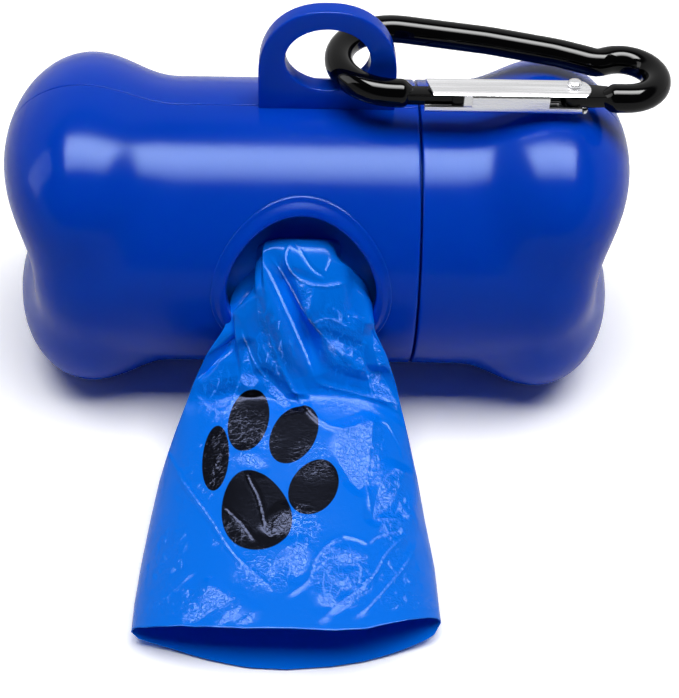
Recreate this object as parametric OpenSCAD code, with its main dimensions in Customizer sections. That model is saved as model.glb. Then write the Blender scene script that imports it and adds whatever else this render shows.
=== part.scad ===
// Bone-shaped dog waste bag dispenser with a twist-off end, a bag roll inside,
// a bag pulled out of the front and a small carabiner through its top lug.
// Millimetres. X runs along the bone, the outlet faces -Y, Z is up.

/* [Housing] */
// Length of the bone from lobe tip to lobe tip
bone_l = 86; // [85:0.5:90]
// How far the valley between two lobes lies in from their tips
valley_depth = 4.3; // [3.5:0.1:5]
// Rounding of the shaft's end, at the bottom of that valley
valley_round = 8.1; // [7:0.1:9]
// Half the size of a lobe along the bone
lobe_rx = 11.2; // [10.5:0.1:12]
// Half the depth of a lobe, front to back
lobe_ry = 17.95; // [17:0.05:19]
// Half the height of a lobe
lobe_rz = 11.55; // [11:0.05:12]
// Height of a lobe's centre above or below the axis
lobe_spread = 11.55; // [11:0.05:12]
// Width of the soft blend where the lobes meet the shaft
lobe_blend = 4.2; // [3:0.1:5]
// Wall of the moulded half shells
wall = 1.6; // [1.2:0.1:2]
// Where the cap meets the body, measured from the bone's middle
seam_x = 13.65; // [13:0.05:15]
// Open joint between body and cap
seam_gap = 0.3; // [0.2:0.05:0.5]
// Open joint between the front and back half shells
parting_gap = 0.1; // [0.06:0.02:0.2]
// Depth of the flats under the lower lobes, on which the bone stands
foot_cut = 0.65; // [0.4:0.05:1]

/* [Lug] */
// Middle of the lug along the bone
lug_x = 1; // [0:0.5:2]
// Width of the lug
lug_w = 18.2; // [17:0.1:20]
// Thickness of the lug, behind the parting line
lug_t = 2.4; // [2:0.1:3]
// Width of plastic beside the lug's eye
lug_side = 3.35; // [3:0.05:4]
// Height of plastic above the lug's eye
lug_band = 2.7; // [2.2:0.1:3.5]
// Height of the lug's eye
eye_h = 9.8; // [9.5:0.1:11]
// Drop of the eye's lower edge below the middle of the carabiner's bar
eye_drop = 2.65; // [2.6:0.05:3]

/* [Outlet] */
// Middle of the outlet along the bone
outlet_x = -2; // [-3:0.5:-1]
// Height of the outlet's middle over the axis
outlet_z = 3.5; // [3:0.25:4]
// Radius of the outlet's opening
outlet_r = 10; // [10:0.1:10.5]
// Thickness of the lip's collar through the wall
lip_collar = 1.2; // [1:0.1:1.5]
// Width of the lip's flange on the outside
lip_flange = 2.05; // [1.8:0.05:2.5]
// Height of the lip over the shaft
lip_rise = 0.7; // [0.5:0.05:1]
// How far the collar passes the inside of the wall
lip_tail = 0.3; // [0.2:0.1:0.5]

/* [Twist-off neck] */
// Length of neck that the cap screws over
neck_reach = 8; // [7:0.5:9]
// Length of neck glued into the body
neck_root = 3.5; // [3:0.1:3.6]
// Wall of the neck where the cap covers it
neck_wall = 0.7; // [0.6:0.05:0.9]
// Running clearance between the neck and the cap's collar
neck_fit = 0.07; // [0.04:0.01:0.1]
// Gap between the shells and the rings glued into them
ring_fit = 0.1; // [0.08:0.01:0.15]
// Wall of the collar inside the cap
collar_wall = 0.58; // [0.5:0.02:0.7]

/* [Bag roll] */
// Diameter of the roll of bags
roll_d = 31; // [26:0.5:31.5]
// Width of the roll of bags
roll_l = 57; // [50:0.5:58]
// Outside diameter of the card core
core_d = 13; // [12:0.5:15]
// Wall of the card core
core_wall = 1; // [0.8:0.1:1.4]
// Room between the roll and the neck that it slides through
roll_room = 1.7; // [1.5:0.1:2.5]
// Clearance between the core and the bags wound on it
core_fit = 0.05; // [0.02:0.01:0.1]
// Gap under the roll where it lies in the neck
roll_gap = 0.3; // [0.2:0.05:0.5]

/* [Carabiner] */
// Diameter of the carabiner's bar
bar_d = 3.8; // [3.4:0.1:3.9]
// Gap between the carabiner and the lobe that it lies over
clip_lift = 0.45; // [0.4:0.05:0.8]
// Distance from the lug's middle to where the bar passes through it
clip_off = 1.95; // [1.5:0.05:2.2]
// Radius of the bar's large bend, at its middle line
loop_r = 7.5; // [7.2:0.1:8]
// Radius of the bar's small end eye, at its middle line
nose_r = 4.45; // [4.3:0.05:4.8]
// Length from the large bend's centre to the small eye's centre
clip_span = 30.35; // [30:0.05:31.5]
// Slope of the back bar beside the large bend, in degrees
spine_slope = 11.5; // [10:0.5:13]
// Thickness of the bar's flattened tongues
tongue_t = 1.7; // [1.4:0.1:1.9]

/* [Gate] */
// Length of the sheet gate
gate_l = 21.2; // [21:0.1:22]
// Width of the sheet gate
gate_w = 3.3; // [3:0.1:3.5]
// Height of the sheet gate
gate_h = 3; // [2.8:0.05:3.2]
// Sheet thickness of the gate
gate_sheet = 0.35; // [0.3:0.05:0.4]
// Length of the notch where the gate closes over the tongue
notch_nose = 5.2; // [5:0.1:5.6]
// Length of the notch at the gate's hinge
notch_hinge = 5.2; // [5:0.1:5.6]
// Distance from the hinge rivet to the gate's end
rivet_end = 1.8; // [1.7:0.05:2]
// Shank radius of the hinge rivet
rivet_r = 0.6; // [0.5:0.05:0.7]
// Head radius of the hinge rivet
rivet_head_r = 0.95; // [0.9:0.05:1.2]
// Head height of the hinge rivet
rivet_head_h = 0.45; // [0.3:0.05:0.5]
// Clearance of the rivet in its holes and under its heads
rivet_fit = 0.05; // [0.02:0.01:0.08]

/* [Gate spring] */
// Coils of the gate spring
spring_turns = 7; // [5:1:9]
// Middle radius of the gate spring
spring_r = 0.75; // [0.7:0.05:0.8]
// Wire diameter of the gate spring
spring_wire = 0.36; // [0.3:0.02:0.4]
// Length of the gate spring
spring_l = 7.4; // [6.5:0.1:7.6]
// Length of the plunger's thick head
plunger_l = 2; // [1.6:0.1:2.2]
// Gap between the plunger and the tongue
plunger_gap = 0.3; // [0.2:0.05:0.4]

/* [Pulled bag] */
// Distance of the bag's mouth in front of the axis
bag_reach = 60; // [52:1:70]
// Width of the bag's mouth
mouth_w = 38.6; // [34:0.2:44]
// Height of the bag's mouth
mouth_h = 5.7; // [5.6:0.1:8]
// Film thickness that the solid stands in for
film_t = 0.5; // [0.4:0.05:0.6]
// Gap between the bag and the roll, and between the bag and the ground
bag_gap = 0.35; // [0.3:0.05:0.5]

/* [Hidden] */
$fn = 64;
around = 26; // facets round half a shell
end_rows = 14; // facets from a bone tip to its shoulder
spring_sides = 6;
spring_rings = 8; // rings a turn
bag_sides = 24;
bar_sides = 16;
loop_steps = 19; // rings round each bend of the bar

// From the roll outwards: neck, collar and housing round it
neck_bore = roll_d/2 + roll_room;
neck_r = neck_bore + neck_wall;
collar_bore = neck_r + neck_fit;
collar_r = collar_bore + collar_wall;
inner_r = collar_r + ring_fit;
shaft_r = inner_r + wall; // outside of the bone's straight middle

lobe_x = bone_l/2 - lobe_rx;
shaft_end = bone_l/2 - valley_depth;
sweep_in = 9.8; // from a lobe's centre in to where the rays for the bone's end start
sweep_x = lobe_x - sweep_in;
lobe_top = lobe_spread + lobe_rz;
ground = foot_cut - lobe_top;
foot_depth = 10; // of the block that cuts the flats
body_seam = seam_x - seam_gap/2;
cap_seam = seam_x + seam_gap/2;

neck_end = body_seam + neck_reach;
collar_start = cap_seam + 0.3;
collar_end = neck_end + 0.4;
roll_z = -(neck_bore - roll_gap - roll_d/2);
hole_r = outlet_r + lip_collar + ring_fit;

clip_z = lobe_top + clip_lift + bar_d/2;
loop_y = 3.6; // the large bend's centre lies behind the lug
pierce_y = lug_t/2;
loop_x = lug_x + clip_off + sqrt(loop_r*loop_r - (pierce_y - loop_y)*(pierce_y - loop_y));
front_y = loop_y - loop_r;
nose_x = loop_x + clip_span;
nose_y = front_y + nose_r - 0.45;
nose_turn = 130; // degrees round the small eye where the back bar joins it
spine_mid = 11.75; // from the large bend's end to the back bar's middle kink
rivet_x = nose_x - 7.1;
rivet_y = front_y - 0.1;
gate_x = rivet_x + rivet_end - gate_l;
gate_y = front_y - gate_w/2 - 0.35;
shoulder_x = gate_x - 1.7;
tang_x = rivet_x + 3.7;
tongue_end = gate_x + notch_nose - 0.6;
tang_r = 1.6;
plunger_x = rivet_x - tang_r - plunger_gap;
spring_end = plunger_x - plunger_l;
spring_x = spring_end - spring_l;
spring_y = gate_y + gate_sheet + (gate_w - gate_sheet)/2;

eye_z = clip_z - eye_drop + eye_h/2;
lug_top = eye_z + eye_h/2 + lug_band;
lug_r = lug_top - eye_z;

left_end = -bone_l/2;
right_end = nose_x + nose_r + bar_d/2;
mid = [(left_end + right_end)/2, (shaft_r - bag_reach)/2, ground];

// ---- bone surface: distance-like fields, blended, and rays that find their level ----
function soft_min(a, b, k) =
    let (h = min(1, max(0, 0.5 + 0.5*(b - a)/k)))
    b*(1 - h) + a*h - k*h*(1 - h);

function shaft_field(p) =
    let (dx = abs(p.x) - (shaft_end - valley_round),
         dr = norm([p.y, p.z]) - (shaft_r - valley_round))
    min(max(dx, dr), 0) + norm([max(dx, 0), max(dr, 0)]) - valley_round;

function lobe_field(p) =
    let (x = (abs(p.x) - lobe_x)/lobe_rx,
         y = p.y/lobe_ry,
         z = (abs(p.z) - lobe_spread)/lobe_rz,
         s = norm([x, y, z]),
         g = norm([x/lobe_rx, y/lobe_ry, z/lobe_rz]))
    s*(s - 1)/max(g, 0.000001);

function bone_field(p) = soft_min(shaft_field(p), lobe_field(p), lobe_blend);

function reach(o, d, level, lo = 4, hi = 45, steps = 22) =
    let (m = (lo + hi)/2)
    steps == 0 ? m :
    bone_field(o + d*m) < level ? reach(o, d, level, m, hi, steps - 1)
                                : reach(o, d, level, lo, m, steps - 1);

// A row is [x of the ray's start, angle off the axis]; side is -1 left, 1 right; half is -1 front, 1 back.
function shell_row(row, side, half, level) = [
    for (j = [0:around])
        let (t = 180*j/around,
             o = [row[0], 0, 0],
             d = [side*cos(row[1]), half*sin(row[1])*sin(t), sin(row[1])*cos(t)])
        o + d*reach(o, d, level) + [0, half*parting_gap/2, 0]];

function end_rows_of(side) = [for (i = [0:end_rows]) [side*sweep_x, 90*i/end_rows]];

function flat(lists) = [for (l = lists) each l];

function turned(faces, flip) = flip ? [for (f = faces) [f[2], f[1], f[0]]] : faces;

function quad(a, b, c, d) = [[a, b, c], [a, c, d]];

module half_shell(side, half, rows) {
    n = len(rows) - 1;
    m = around + 1;
    skin = flat([for (r = rows) shell_row(r, side, half, 0)]);
    lining = flat([for (r = rows) shell_row(r, side, half, -wall)]);
    in0 = len(skin); // where the lining's points start
    tip = [for (j = [0:around - 1]) each [[0, m + j, m + j + 1], [in0, in0 + m + j + 1, in0 + m + j]]];
    walls = [for (i = [1:n - 1], j = [0:around - 1])
        let (a = i*m + j)
        each concat(quad(a, a + m, a + m + 1, a + 1),
                    quad(in0 + a, in0 + a + 1, in0 + a + m + 1, in0 + a + m))];
    rim_tip = concat(quad(0, in0, in0 + m, m),
                     quad(0, m + around, in0 + m + around, in0));
    rims = [for (i = [1:n - 1])
        let (a = i*m, b = a + around)
        each concat(quad(a, in0 + a, in0 + a + m, a + m),
                    quad(b, b + m, in0 + b + m, in0 + b))];
    mouth = [for (j = [0:around - 1])
        let (a = n*m + j)
        each quad(a, in0 + a, in0 + a + 1, a + 1)];
    polyhedron(concat(skin, lining),
        turned(concat(tip, walls, rim_tip, rims, mouth), side*half < 0));
}

module body_half(half) {
    rows = concat(end_rows_of(-1), [[-sweep_x + 3.5, 90], [-sweep_x + 7, 90], [body_seam, 90]]);
    difference() {
        half_shell(-1, half, rows);
        foot_cutter();
    }
}

module cap_half(half) {
    rows = concat(end_rows_of(1), [[sweep_x - 3.5, 90], [cap_seam, 90]]);
    difference() {
        half_shell(1, half, rows);
        foot_cutter();
    }
}

module foot_cutter() {
    translate([-bone_l, -bone_l/2, ground - foot_depth]) cube([2*bone_l, bone_l, foot_depth]);
}

// Everything is drawn round the bone's axis, then set on the ground under the middle of the whole.
module placed() {
    translate(-mid) children();
}

module x_tube(r, x0, x1) {
    translate([x0, 0, 0]) rotate([0, 90, 0]) cylinder(r = r, h = x1 - x0);
}

module ring_x(r_out, r_in, x0, x1) {
    difference() {
        x_tube(r_out, x0, x1);
        x_tube(r_in, x0 - 1, x1 + 1);
    }
}

module outlet_tube(r) {
    translate([outlet_x, 0, outlet_z]) rotate([90, 0, 0]) cylinder(r = r, h = 2*shaft_r);
}

// ---- housing ----
module body_front_shell() {
    color("#0b49d6") placed() difference() {
        body_half(-1);
        outlet_tube(hole_r);
    }
}

module lug_shape() {
    over = (lug_w/2 - lug_r);
    eye_r = eye_h/2;
    eye_over = lug_w/2 - lug_side - eye_r;
    foot_z = shaft_r - 0.6*wall;
    difference() {
        union() {
            for (s = [-1, 1]) translate([s*over, eye_z]) circle(r = lug_r);
            translate([-over, eye_z]) square([2*over, lug_r]);
            translate([-lug_w/2, foot_z]) square([lug_w, eye_z - foot_z]);
        }
        for (s = [-1, 1]) translate([s*eye_over, eye_z]) circle(r = eye_r);
        translate([-eye_over, eye_z - eye_r]) square([2*eye_over, eye_h]);
    }
}

module body_back_shell() {
    color("#0b49d6") placed() {
        body_half(1);
        translate([lug_x, lug_t + 0.02 + parting_gap/2, 0]) rotate([90, 0, 0])
            linear_extrude(lug_t) lug_shape();
    }
}

module cap_front_shell() {
    color("#0b49d6") placed() cap_half(-1);
}

module cap_back_shell() {
    color("#0b49d6") placed() cap_half(1);
}

module neck_sleeve() {
    color("#0a3fb8") placed() {
        ring_x(collar_r, neck_bore, body_seam - neck_root, body_seam);
        ring_x(neck_r, neck_bore, body_seam - neck_root/2, neck_end);
    }
}

module cap_collar() {
    color("#0a3fb8") placed() ring_x(collar_r, collar_bore, collar_start, collar_end);
}

module outlet_lip() {
    color("#0d52e0") placed() difference() {
        union() {
            difference() {
                intersection() {
                    outlet_tube(outlet_r + lip_flange);
                    x_tube(shaft_r + lip_rise, -bone_l/2, bone_l/2);
                }
                x_tube(shaft_r + ring_fit/2, -bone_l, bone_l);
            }
            difference() {
                intersection() {
                    outlet_tube(outlet_r + lip_collar);
                    x_tube(shaft_r + lip_rise/2, -bone_l/2, bone_l/2);
                }
                x_tube(inner_r - lip_tail, -bone_l, bone_l);
            }
        }
        outlet_tube(outlet_r);
    }
}

// ---- roll ----
module bag_roll() {
    color("#1f78f0") placed() translate([0, 0, roll_z])
        ring_x(roll_d/2, core_d/2 + core_fit, -roll_l/2, roll_l/2);
}

module roll_core() {
    color("#b99a6b") placed() translate([0, 0, roll_z])
        ring_x(core_d/2, core_d/2 - core_wall, -roll_l/2 - 0.5, roll_l/2 + 0.5);
}

// ---- carabiner ----
function loop_point(a) = [loop_x + loop_r*cos(a), loop_y + loop_r*sin(a)];
function nose_point(a) = [nose_x + nose_r*cos(a), nose_y + nose_r*sin(a)];

// Middle line of the bar, from the shoulder at the gate's nose round to the one at its hinge
function bar_path() =
    let (start = loop_point(90 - spine_slope),
         kink = start + spine_mid*[1, -tan(spine_slope)],
         tail_x = nose_x - 8 - kink.x,
         tail = kink + tail_x*[1, -tan(spine_slope + 5)],
         join = nose_point(nose_turn))
    concat([[shoulder_x, front_y]],
        [for (i = [0:loop_steps]) loop_point(270 - (180 + spine_slope)*i/loop_steps)],
        [kink, tail, join + [-1.6, 0.8]],
        [for (i = [0:loop_steps]) nose_point(nose_turn - (nose_turn + 90)*i/loop_steps)],
        [[tang_x, nose_y - nose_r]]);

module swept_bar(path) {
    n = len(path) - 1;
    points = [for (i = [0:n], k = [0:bar_sides - 1])
        let (v = path[min(i + 1, n)] - path[max(i - 1, 0)],
             out = [-v.y, v.x]/norm(v),
             b = 360*k/bar_sides)
        [each path[i] + bar_d/2*cos(b)*out, clip_z + bar_d/2*sin(b)]];
    sides = [for (i = [0:n - 1], k = [0:bar_sides - 1])
        let (a = i*bar_sides + k, b = i*bar_sides + (k + 1)%bar_sides)
        each quad(a, a + bar_sides, b + bar_sides, b)];
    ends = [for (k = [1:bar_sides - 2])
        let (z = n*bar_sides)
        each [[0, k, k + 1], [z, z + k + 1, z + k]]];
    polyhedron(points, concat(sides, ends));
}

module tongue(x0, x1, y0, y1) {
    translate([x0, y0, clip_z - tongue_t/2]) cube([x1 - x0, y1 - y0, tongue_t]);
}

module carabiner_frame() {
    color("#17181a") placed() difference() {
        union() {
            swept_bar(bar_path());
            tongue(shoulder_x - 1, tongue_end, front_y - 1.9, front_y + 1.1);
            tongue(rivet_x, tang_x + 1, rivet_y - tang_r, rivet_y + tang_r);
            translate([rivet_x, rivet_y, clip_z - tongue_t/2]) cylinder(r = tang_r, h = tongue_t);
        }
        translate([rivet_x, rivet_y, clip_z - bar_d]) cylinder(r = rivet_r + rivet_fit, h = 2*bar_d);
    }
}

module gate_block(x0, x1, y0, y1, h) {
    translate([x0, y0, clip_z - h/2]) cube([x1 - x0, y1 - y0, h]);
}

module carabiner_gate() {
    end_x = gate_x + gate_l;
    back_y = gate_y + gate_w;
    inner_h = gate_h - 2*gate_sheet;
    color("#c9ccd0") placed() difference() {
        union() {
            intersection() {
                gate_block(gate_x, end_x, gate_y, back_y, gate_h);
                union() {
                    gate_block(gate_x, rivet_x, gate_y, back_y, gate_h);
                    translate([rivet_x, gate_y + gate_w/2, clip_z - gate_h/2])
                        cylinder(r = rivet_end, h = gate_h);
                }
            }
        }
        difference() {
            gate_block(gate_x - 1, end_x + 1, gate_y + gate_sheet, back_y + 1, inner_h);
            gate_block(spring_x - 2*gate_sheet, spring_x - gate_sheet, gate_y, back_y - 0.6, inner_h);
        }
        gate_block(gate_x - 1, gate_x + notch_nose, gate_y - 1, back_y + 1, inner_h);
        gate_block(end_x - notch_hinge, end_x + 1, gate_y - 1, back_y + 1, inner_h);
        translate([rivet_x, rivet_y, clip_z - gate_h])
            cylinder(r = rivet_r + rivet_fit, h = 2*gate_h);
    }
}

module gate_rivet() {
    half_span = gate_h/2 + rivet_fit;
    color("#b8bbbf") placed() translate([rivet_x, rivet_y, clip_z]) {
        translate([0, 0, -half_span - rivet_head_h/2]) cylinder(r = rivet_r, h = 2*half_span + rivet_head_h);
        for (s = [-1, 1]) translate([0, 0, s*(half_span + rivet_head_h/2)])
            cylinder(r = rivet_head_r, h = rivet_head_h, center = true);
    }
}

module gate_spring() {
    rings = spring_turns*spring_rings;
    points = [for (i = [0:rings], k = [0:spring_sides - 1])
        let (a = 360*i/spring_rings, b = 360*k/spring_sides,
             r = spring_r + spring_wire/2*cos(b))
        [spring_wire/2 + (spring_l - spring_wire)*i/rings + spring_wire/2*sin(b), r*cos(a), r*sin(a)]];
    sides = [for (i = [0:rings - 1], k = [0:spring_sides - 1])
        let (a = i*spring_sides + k, b = i*spring_sides + (k + 1)%spring_sides)
        each quad(a, b, b + spring_sides, a + spring_sides)];
    ends = [for (k = [1:spring_sides - 2])
        let (z = rings*spring_sides)
        each [[0, k + 1, k], [z, z + k, z + k + 1]]];
    color("#a9adb2") placed() translate([spring_x, spring_y, clip_z])
        polyhedron(points, turned(concat(sides, ends), false));
}

module gate_plunger() {
    color("#b8bbbf") placed() translate([0, spring_y, clip_z]) {
        x_tube(spring_r + spring_wire/2, spring_end + 0.02, plunger_x);
        x_tube(spring_r - spring_wire/2 - 0.12, spring_end - spring_l/2, spring_end + plunger_l/2);
    }
}

// ---- pulled bag: [y, middle x, half width, height of the side folds, top, bottom] ----
mouth_side = ground + bag_gap + 2.5;
bag_front = shaft_r + 1.25; // just clear of the lip, where the bag starts to spread
function bag_y(share) = -(bag_front + share*(bag_reach - bag_front)); // share of the way to the mouth
bag_stations = [
    [-(roll_d/2 + bag_gap), -2, 7.6, 2.6, 8.1, -2.6],
    [-(shaft_r - 1.25), -2, 8.2, 2, 8.1, -4.2],
    [-bag_front, -2, 8.6, 0.2, 5.8, -5.4],
    [bag_y(0.05), -2.2, 11.6, -6, 1, -10.2],
    [bag_y(0.14), -2.6, 14.8, -12.3, -5.6, -15.6],
    [bag_y(0.27), -3, 16.8, -17, -10.8, -20],
    [bag_y(0.43), -3.2, 18, -19.4, -14, -21.6],
    [bag_y(0.61), -3.3, mouth_w/2 - 0.3, mouth_side - 0.2, ground + bag_gap + mouth_h + 0.6, ground + bag_gap],
    [bag_y(0.79), -3.3, mouth_w/2, mouth_side, ground + bag_gap + mouth_h + 0.1, ground + bag_gap],
    [-bag_reach, -3.3, mouth_w/2, mouth_side, ground + bag_gap + mouth_h, ground + bag_gap]];
hollow_from = 4; // the film is bunched solid up to this station

function signed_pow(v, e) = sign(v)*pow(abs(v), e);

function bag_ring(s, inset) = [
    for (k = [0:bag_sides - 1])
        let (a = 360*k/bag_sides, u = signed_pow(cos(a), 0.8), w = signed_pow(sin(a), 0.8))
        [s[1] + (s[2] - 1.6*inset)*u, s[0],
         s[3] + (w > 0 ? s[4] - s[3] - inset : s[3] - s[5] - inset)*w]];

module pulled_bag() {
    n = len(bag_stations) - 1;
    outside = flat([for (s = bag_stations) bag_ring(s, 0)]);
    inside = flat([for (i = [hollow_from:n]) bag_ring(bag_stations[i], film_t)]);
    in0 = len(outside);
    rings_in = n - hollow_from;
    skin = [for (i = [0:n - 1], k = [0:bag_sides - 1])
        let (a = i*bag_sides + k, b = i*bag_sides + (k + 1)%bag_sides)
        each quad(a, a + bag_sides, b + bag_sides, b)];
    lining = [for (i = [0:rings_in - 1], k = [0:bag_sides - 1])
        let (a = in0 + i*bag_sides + k, b = in0 + i*bag_sides + (k + 1)%bag_sides)
        each quad(a, b, b + bag_sides, a + bag_sides)];
    throat = [for (k = [1:bag_sides - 2]) each [[0, k, k + 1], [in0, in0 + k + 1, in0 + k]]];
    mouth = [for (k = [0:bag_sides - 1])
        let (a = n*bag_sides + k, b = n*bag_sides + (k + 1)%bag_sides,
             c = in0 + rings_in*bag_sides + k, d = in0 + rings_in*bag_sides + (k + 1)%bag_sides)
        each quad(a, c, d, b)];
    color("#0f7bf5") placed() polyhedron(concat(outside, inside), concat(skin, lining, throat, mouth));
}

body_front_shell();
body_back_shell();
cap_front_shell();
cap_back_shell();
neck_sleeve();
cap_collar();
outlet_lip();
bag_roll();
roll_core();
pulled_bag();
carabiner_frame();
carabiner_gate();
gate_rivet();
gate_spring();
gate_plunger();
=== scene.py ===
import math

import bmesh
import bpy
import numpy as np
from mathutils import Matrix, Vector


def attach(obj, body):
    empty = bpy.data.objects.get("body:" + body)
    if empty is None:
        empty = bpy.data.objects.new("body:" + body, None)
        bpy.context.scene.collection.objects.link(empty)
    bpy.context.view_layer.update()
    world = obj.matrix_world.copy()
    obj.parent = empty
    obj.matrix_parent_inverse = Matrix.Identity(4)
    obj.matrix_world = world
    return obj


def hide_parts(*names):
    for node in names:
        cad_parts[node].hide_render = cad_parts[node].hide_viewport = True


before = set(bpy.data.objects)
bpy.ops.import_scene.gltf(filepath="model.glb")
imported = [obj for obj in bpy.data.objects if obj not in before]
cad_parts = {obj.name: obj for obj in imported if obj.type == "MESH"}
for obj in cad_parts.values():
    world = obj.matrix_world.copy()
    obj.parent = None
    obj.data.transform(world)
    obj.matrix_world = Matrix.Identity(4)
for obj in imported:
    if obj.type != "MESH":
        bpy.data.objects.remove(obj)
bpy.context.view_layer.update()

mm = 0.001
boneCentre = np.array([-1.87782, 19.875, 22.45])  # middle of the bone, in the row frame, mm


def hexColour(text):
    parts = [int(text[i:i + 2], 16) / 255 for i in (1, 3, 5)]
    return [c / 12.92 if c <= 0.04045 else ((c + 0.055) / 1.055) ** 2.4 for c in parts] + [1]


def addNode(tree, kind, inputs=None, **settings):
    # an input that is given a node or an output is linked, and takes a node's first output in use
    node = tree.nodes.new(kind)
    for key, value in settings.items():
        setattr(node, key, value)
    for key, value in (inputs or {}).items():
        if isinstance(value, bpy.types.Node):
            value = next(socket for socket in value.outputs if socket.enabled)
        if isinstance(value, bpy.types.NodeSocket):
            tree.links.new(value, node.inputs[key])
        else:
            node.inputs[key].default_value = value
    return node


def newMaterial(name):
    material = bpy.data.materials.new(name)
    material.use_nodes = True
    material.node_tree.nodes.clear()
    return material, material.node_tree


def finishSurface(tree, shader):
    addNode(tree, "ShaderNodeOutputMaterial", {"Surface": shader})


def colourRamp(tree, factor, stops):
    node = addNode(tree, "ShaderNodeValToRGB", {"Fac": factor})
    while len(node.color_ramp.elements) < len(stops):
        node.color_ramp.elements.new(0.5)
    for element, (place, colour) in zip(node.color_ramp.elements, stops):
        element.position = place
        element.color = colour
    return node


def facedOut(mesh):
    # flips a closed mesh that came out inside out
    mesh.calc_loop_triangles()
    co = np.empty(len(mesh.vertices) * 3)
    mesh.vertices.foreach_get("co", co)
    tri = np.empty(len(mesh.loop_triangles) * 3, np.int32)
    mesh.loop_triangles.foreach_get("vertices", tri)
    a, b, c = co.reshape(-1, 3)[tri.reshape(-1, 3)].transpose(1, 0, 2)
    if np.einsum("ij,ij->i", a, np.cross(b, c)).sum() < 0:
        mesh.flip_normals()
    return mesh


def closedMesh(name, points, faces):
    # points in mm round the bone's middle
    mesh = bpy.data.meshes.new(name)
    places = (np.asarray(points, float) + boneCentre) * mm
    mesh.from_pydata(places.tolist(), [], [list(map(int, face)) for face in faces])
    mesh.validate()
    return facedOut(mesh)


def newObject(name, data):
    made = bpy.data.objects.new(name, data)
    bpy.context.scene.collection.objects.link(made)
    return made


def placePiece(name, mesh, material, body, creaseAngle, standsFor):
    mesh.name = name
    mesh.materials.clear()
    mesh.materials.append(material)
    mesh.shade_smooth()
    mesh.set_sharp_from_angle(angle=math.radians(creaseAngle))
    piece = newObject(name, mesh)
    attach(piece, body)
    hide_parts(standsFor)
    return piece


def gridFaces(rows, columns, closed=False):
    across = columns if closed else columns - 1
    i, j = np.meshgrid(np.arange(rows - 1), np.arange(across), indexing="ij")
    a, b = i * columns + j, i * columns + (j + 1) % columns
    return np.stack([a, a + columns, b + columns, b], -1).reshape(-1, 4)


def ringFaces(steps, count):
    # round a closed section of count points that is turned in steps round its axis
    k, j = np.meshgrid(np.arange(steps), np.arange(count), indexing="ij")
    here, ahead, beyond = k * count, (k + 1) % steps * count, (j + 1) % count
    return np.stack([here + j, here + beyond, ahead + beyond, ahead + j], -1).reshape(-1, 4)


def mergedSkins(outer, inner, faces):
    # both skins share their faces; repeated points become one, and the open edges get walls
    _, first, back = np.unique(np.round(outer, 4), axis=0, return_index=True, return_inverse=True)
    outer, inner, back = outer[first], inner[first], back.reshape(-1)
    skin = []
    for face in faces:
        ring = list(dict.fromkeys(back[face].tolist()))
        if len(ring) > 2:
            skin.append(ring)
    used = {(a, b): True for ring in skin for a, b in zip(ring, ring[1:] + ring[:1])}
    shift = len(outer)
    walls = [[b, a, a + shift, b + shift] for a, b in used if (b, a) not in used]
    lining = [[k + shift for k in reversed(ring)] for ring in skin]
    return np.vstack([outer, inner]), skin + walls + lining


def travelled(line):
    # distance passed at each point of a line
    return np.concatenate([[0], np.cumsum(np.hypot(*np.diff(line, axis=0).T))])


def smoothed(rows, passes):
    rows = rows.copy()
    for _ in range(passes):
        rows[1:-1] = (rows[:-2] + 2 * rows[1:-1] + rows[2:]) / 4
    return rows


view = {
    "elevation": 42.2566, "yaw": 0.98018, "roll": 1.46042, "distance": 225.17,
    "target": (0.17994, 0, -7.81234), "lens": 78.847, "sensor": 36, "shift": (0.0337, -0.1275), "clip": (0.01, 20),
}


def addCamera():
    e, y, r = (math.radians(view[k]) for k in ("elevation", "yaw", "roll"))
    forward = Vector((math.sin(y) * math.cos(e), math.cos(y) * math.cos(e), -math.sin(e)))
    flatRight = Vector((math.cos(y), -math.sin(y), 0))
    flatUp = flatRight.cross(forward)
    right = flatRight * math.cos(r) + flatUp * math.sin(r)
    up = flatUp * math.cos(r) - flatRight * math.sin(r)
    place = (Vector(view["target"]) + Vector(boneCentre)) - forward * view["distance"]
    data = bpy.data.cameras.new("camera")
    data.lens = view["lens"]
    data.sensor_width = view["sensor"]
    data.shift_x, data.shift_y = view["shift"]
    data.clip_start, data.clip_end = view["clip"]
    camera = newObject("camera", data)
    camera.matrix_world = Matrix.Translation(place * mm) @ Matrix((right, up, -forward)).transposed().to_4x4()
    bpy.context.scene.camera = camera


addCamera()

studio = {
    "overhead": 0.06, "backdrop": 0.7, "backdropTilt": -0.6, "backdropEdge": (0.42, 0.64), "ambientShare": 0.2,
    "floorShown": 1.45, "floorGloss": 0.8, "floorBounce": 0.75, "floorReach": 3, "floorDrop": 0.05,
    # size in m, power, place in mm, whether it shows in gloss, whether it lights matt surfaces:
    # a far softbox lights evenly, a near one of the same spread shows in gloss, and so does one at the left
    "lamps": {
        "softbox_light": ((2.5, 1.45), 67, (225, -260, 2500), False, True),
        "softbox_gloss": ((0.50, 0.29), 14.9, (45, -52, 500), True, False),
        "side_gloss": ((0.25, 0.5), 1.4, (-620, -60, 330), True, False),
    },
    # the near softbox's brightness from its front edge to its back edge
    "nearSpread": [
        (0.0, 0.08), (0.13, 0.36), (0.26, 0.63), (0.42, 0.86), (0.56, 1.0), (0.72, 1.05), (0.9, 0.8), (1.0, 0.15)],
}


def seenStraight(tree, path):
    # 1 where the camera sees it, also through clear film or glass
    return addNode(tree, "ShaderNodeMath", {0: path.outputs["Is Camera Ray"], 1: path.outputs["Is Transmission Ray"]},
                   operation="ADD", use_clamp=True)


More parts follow.
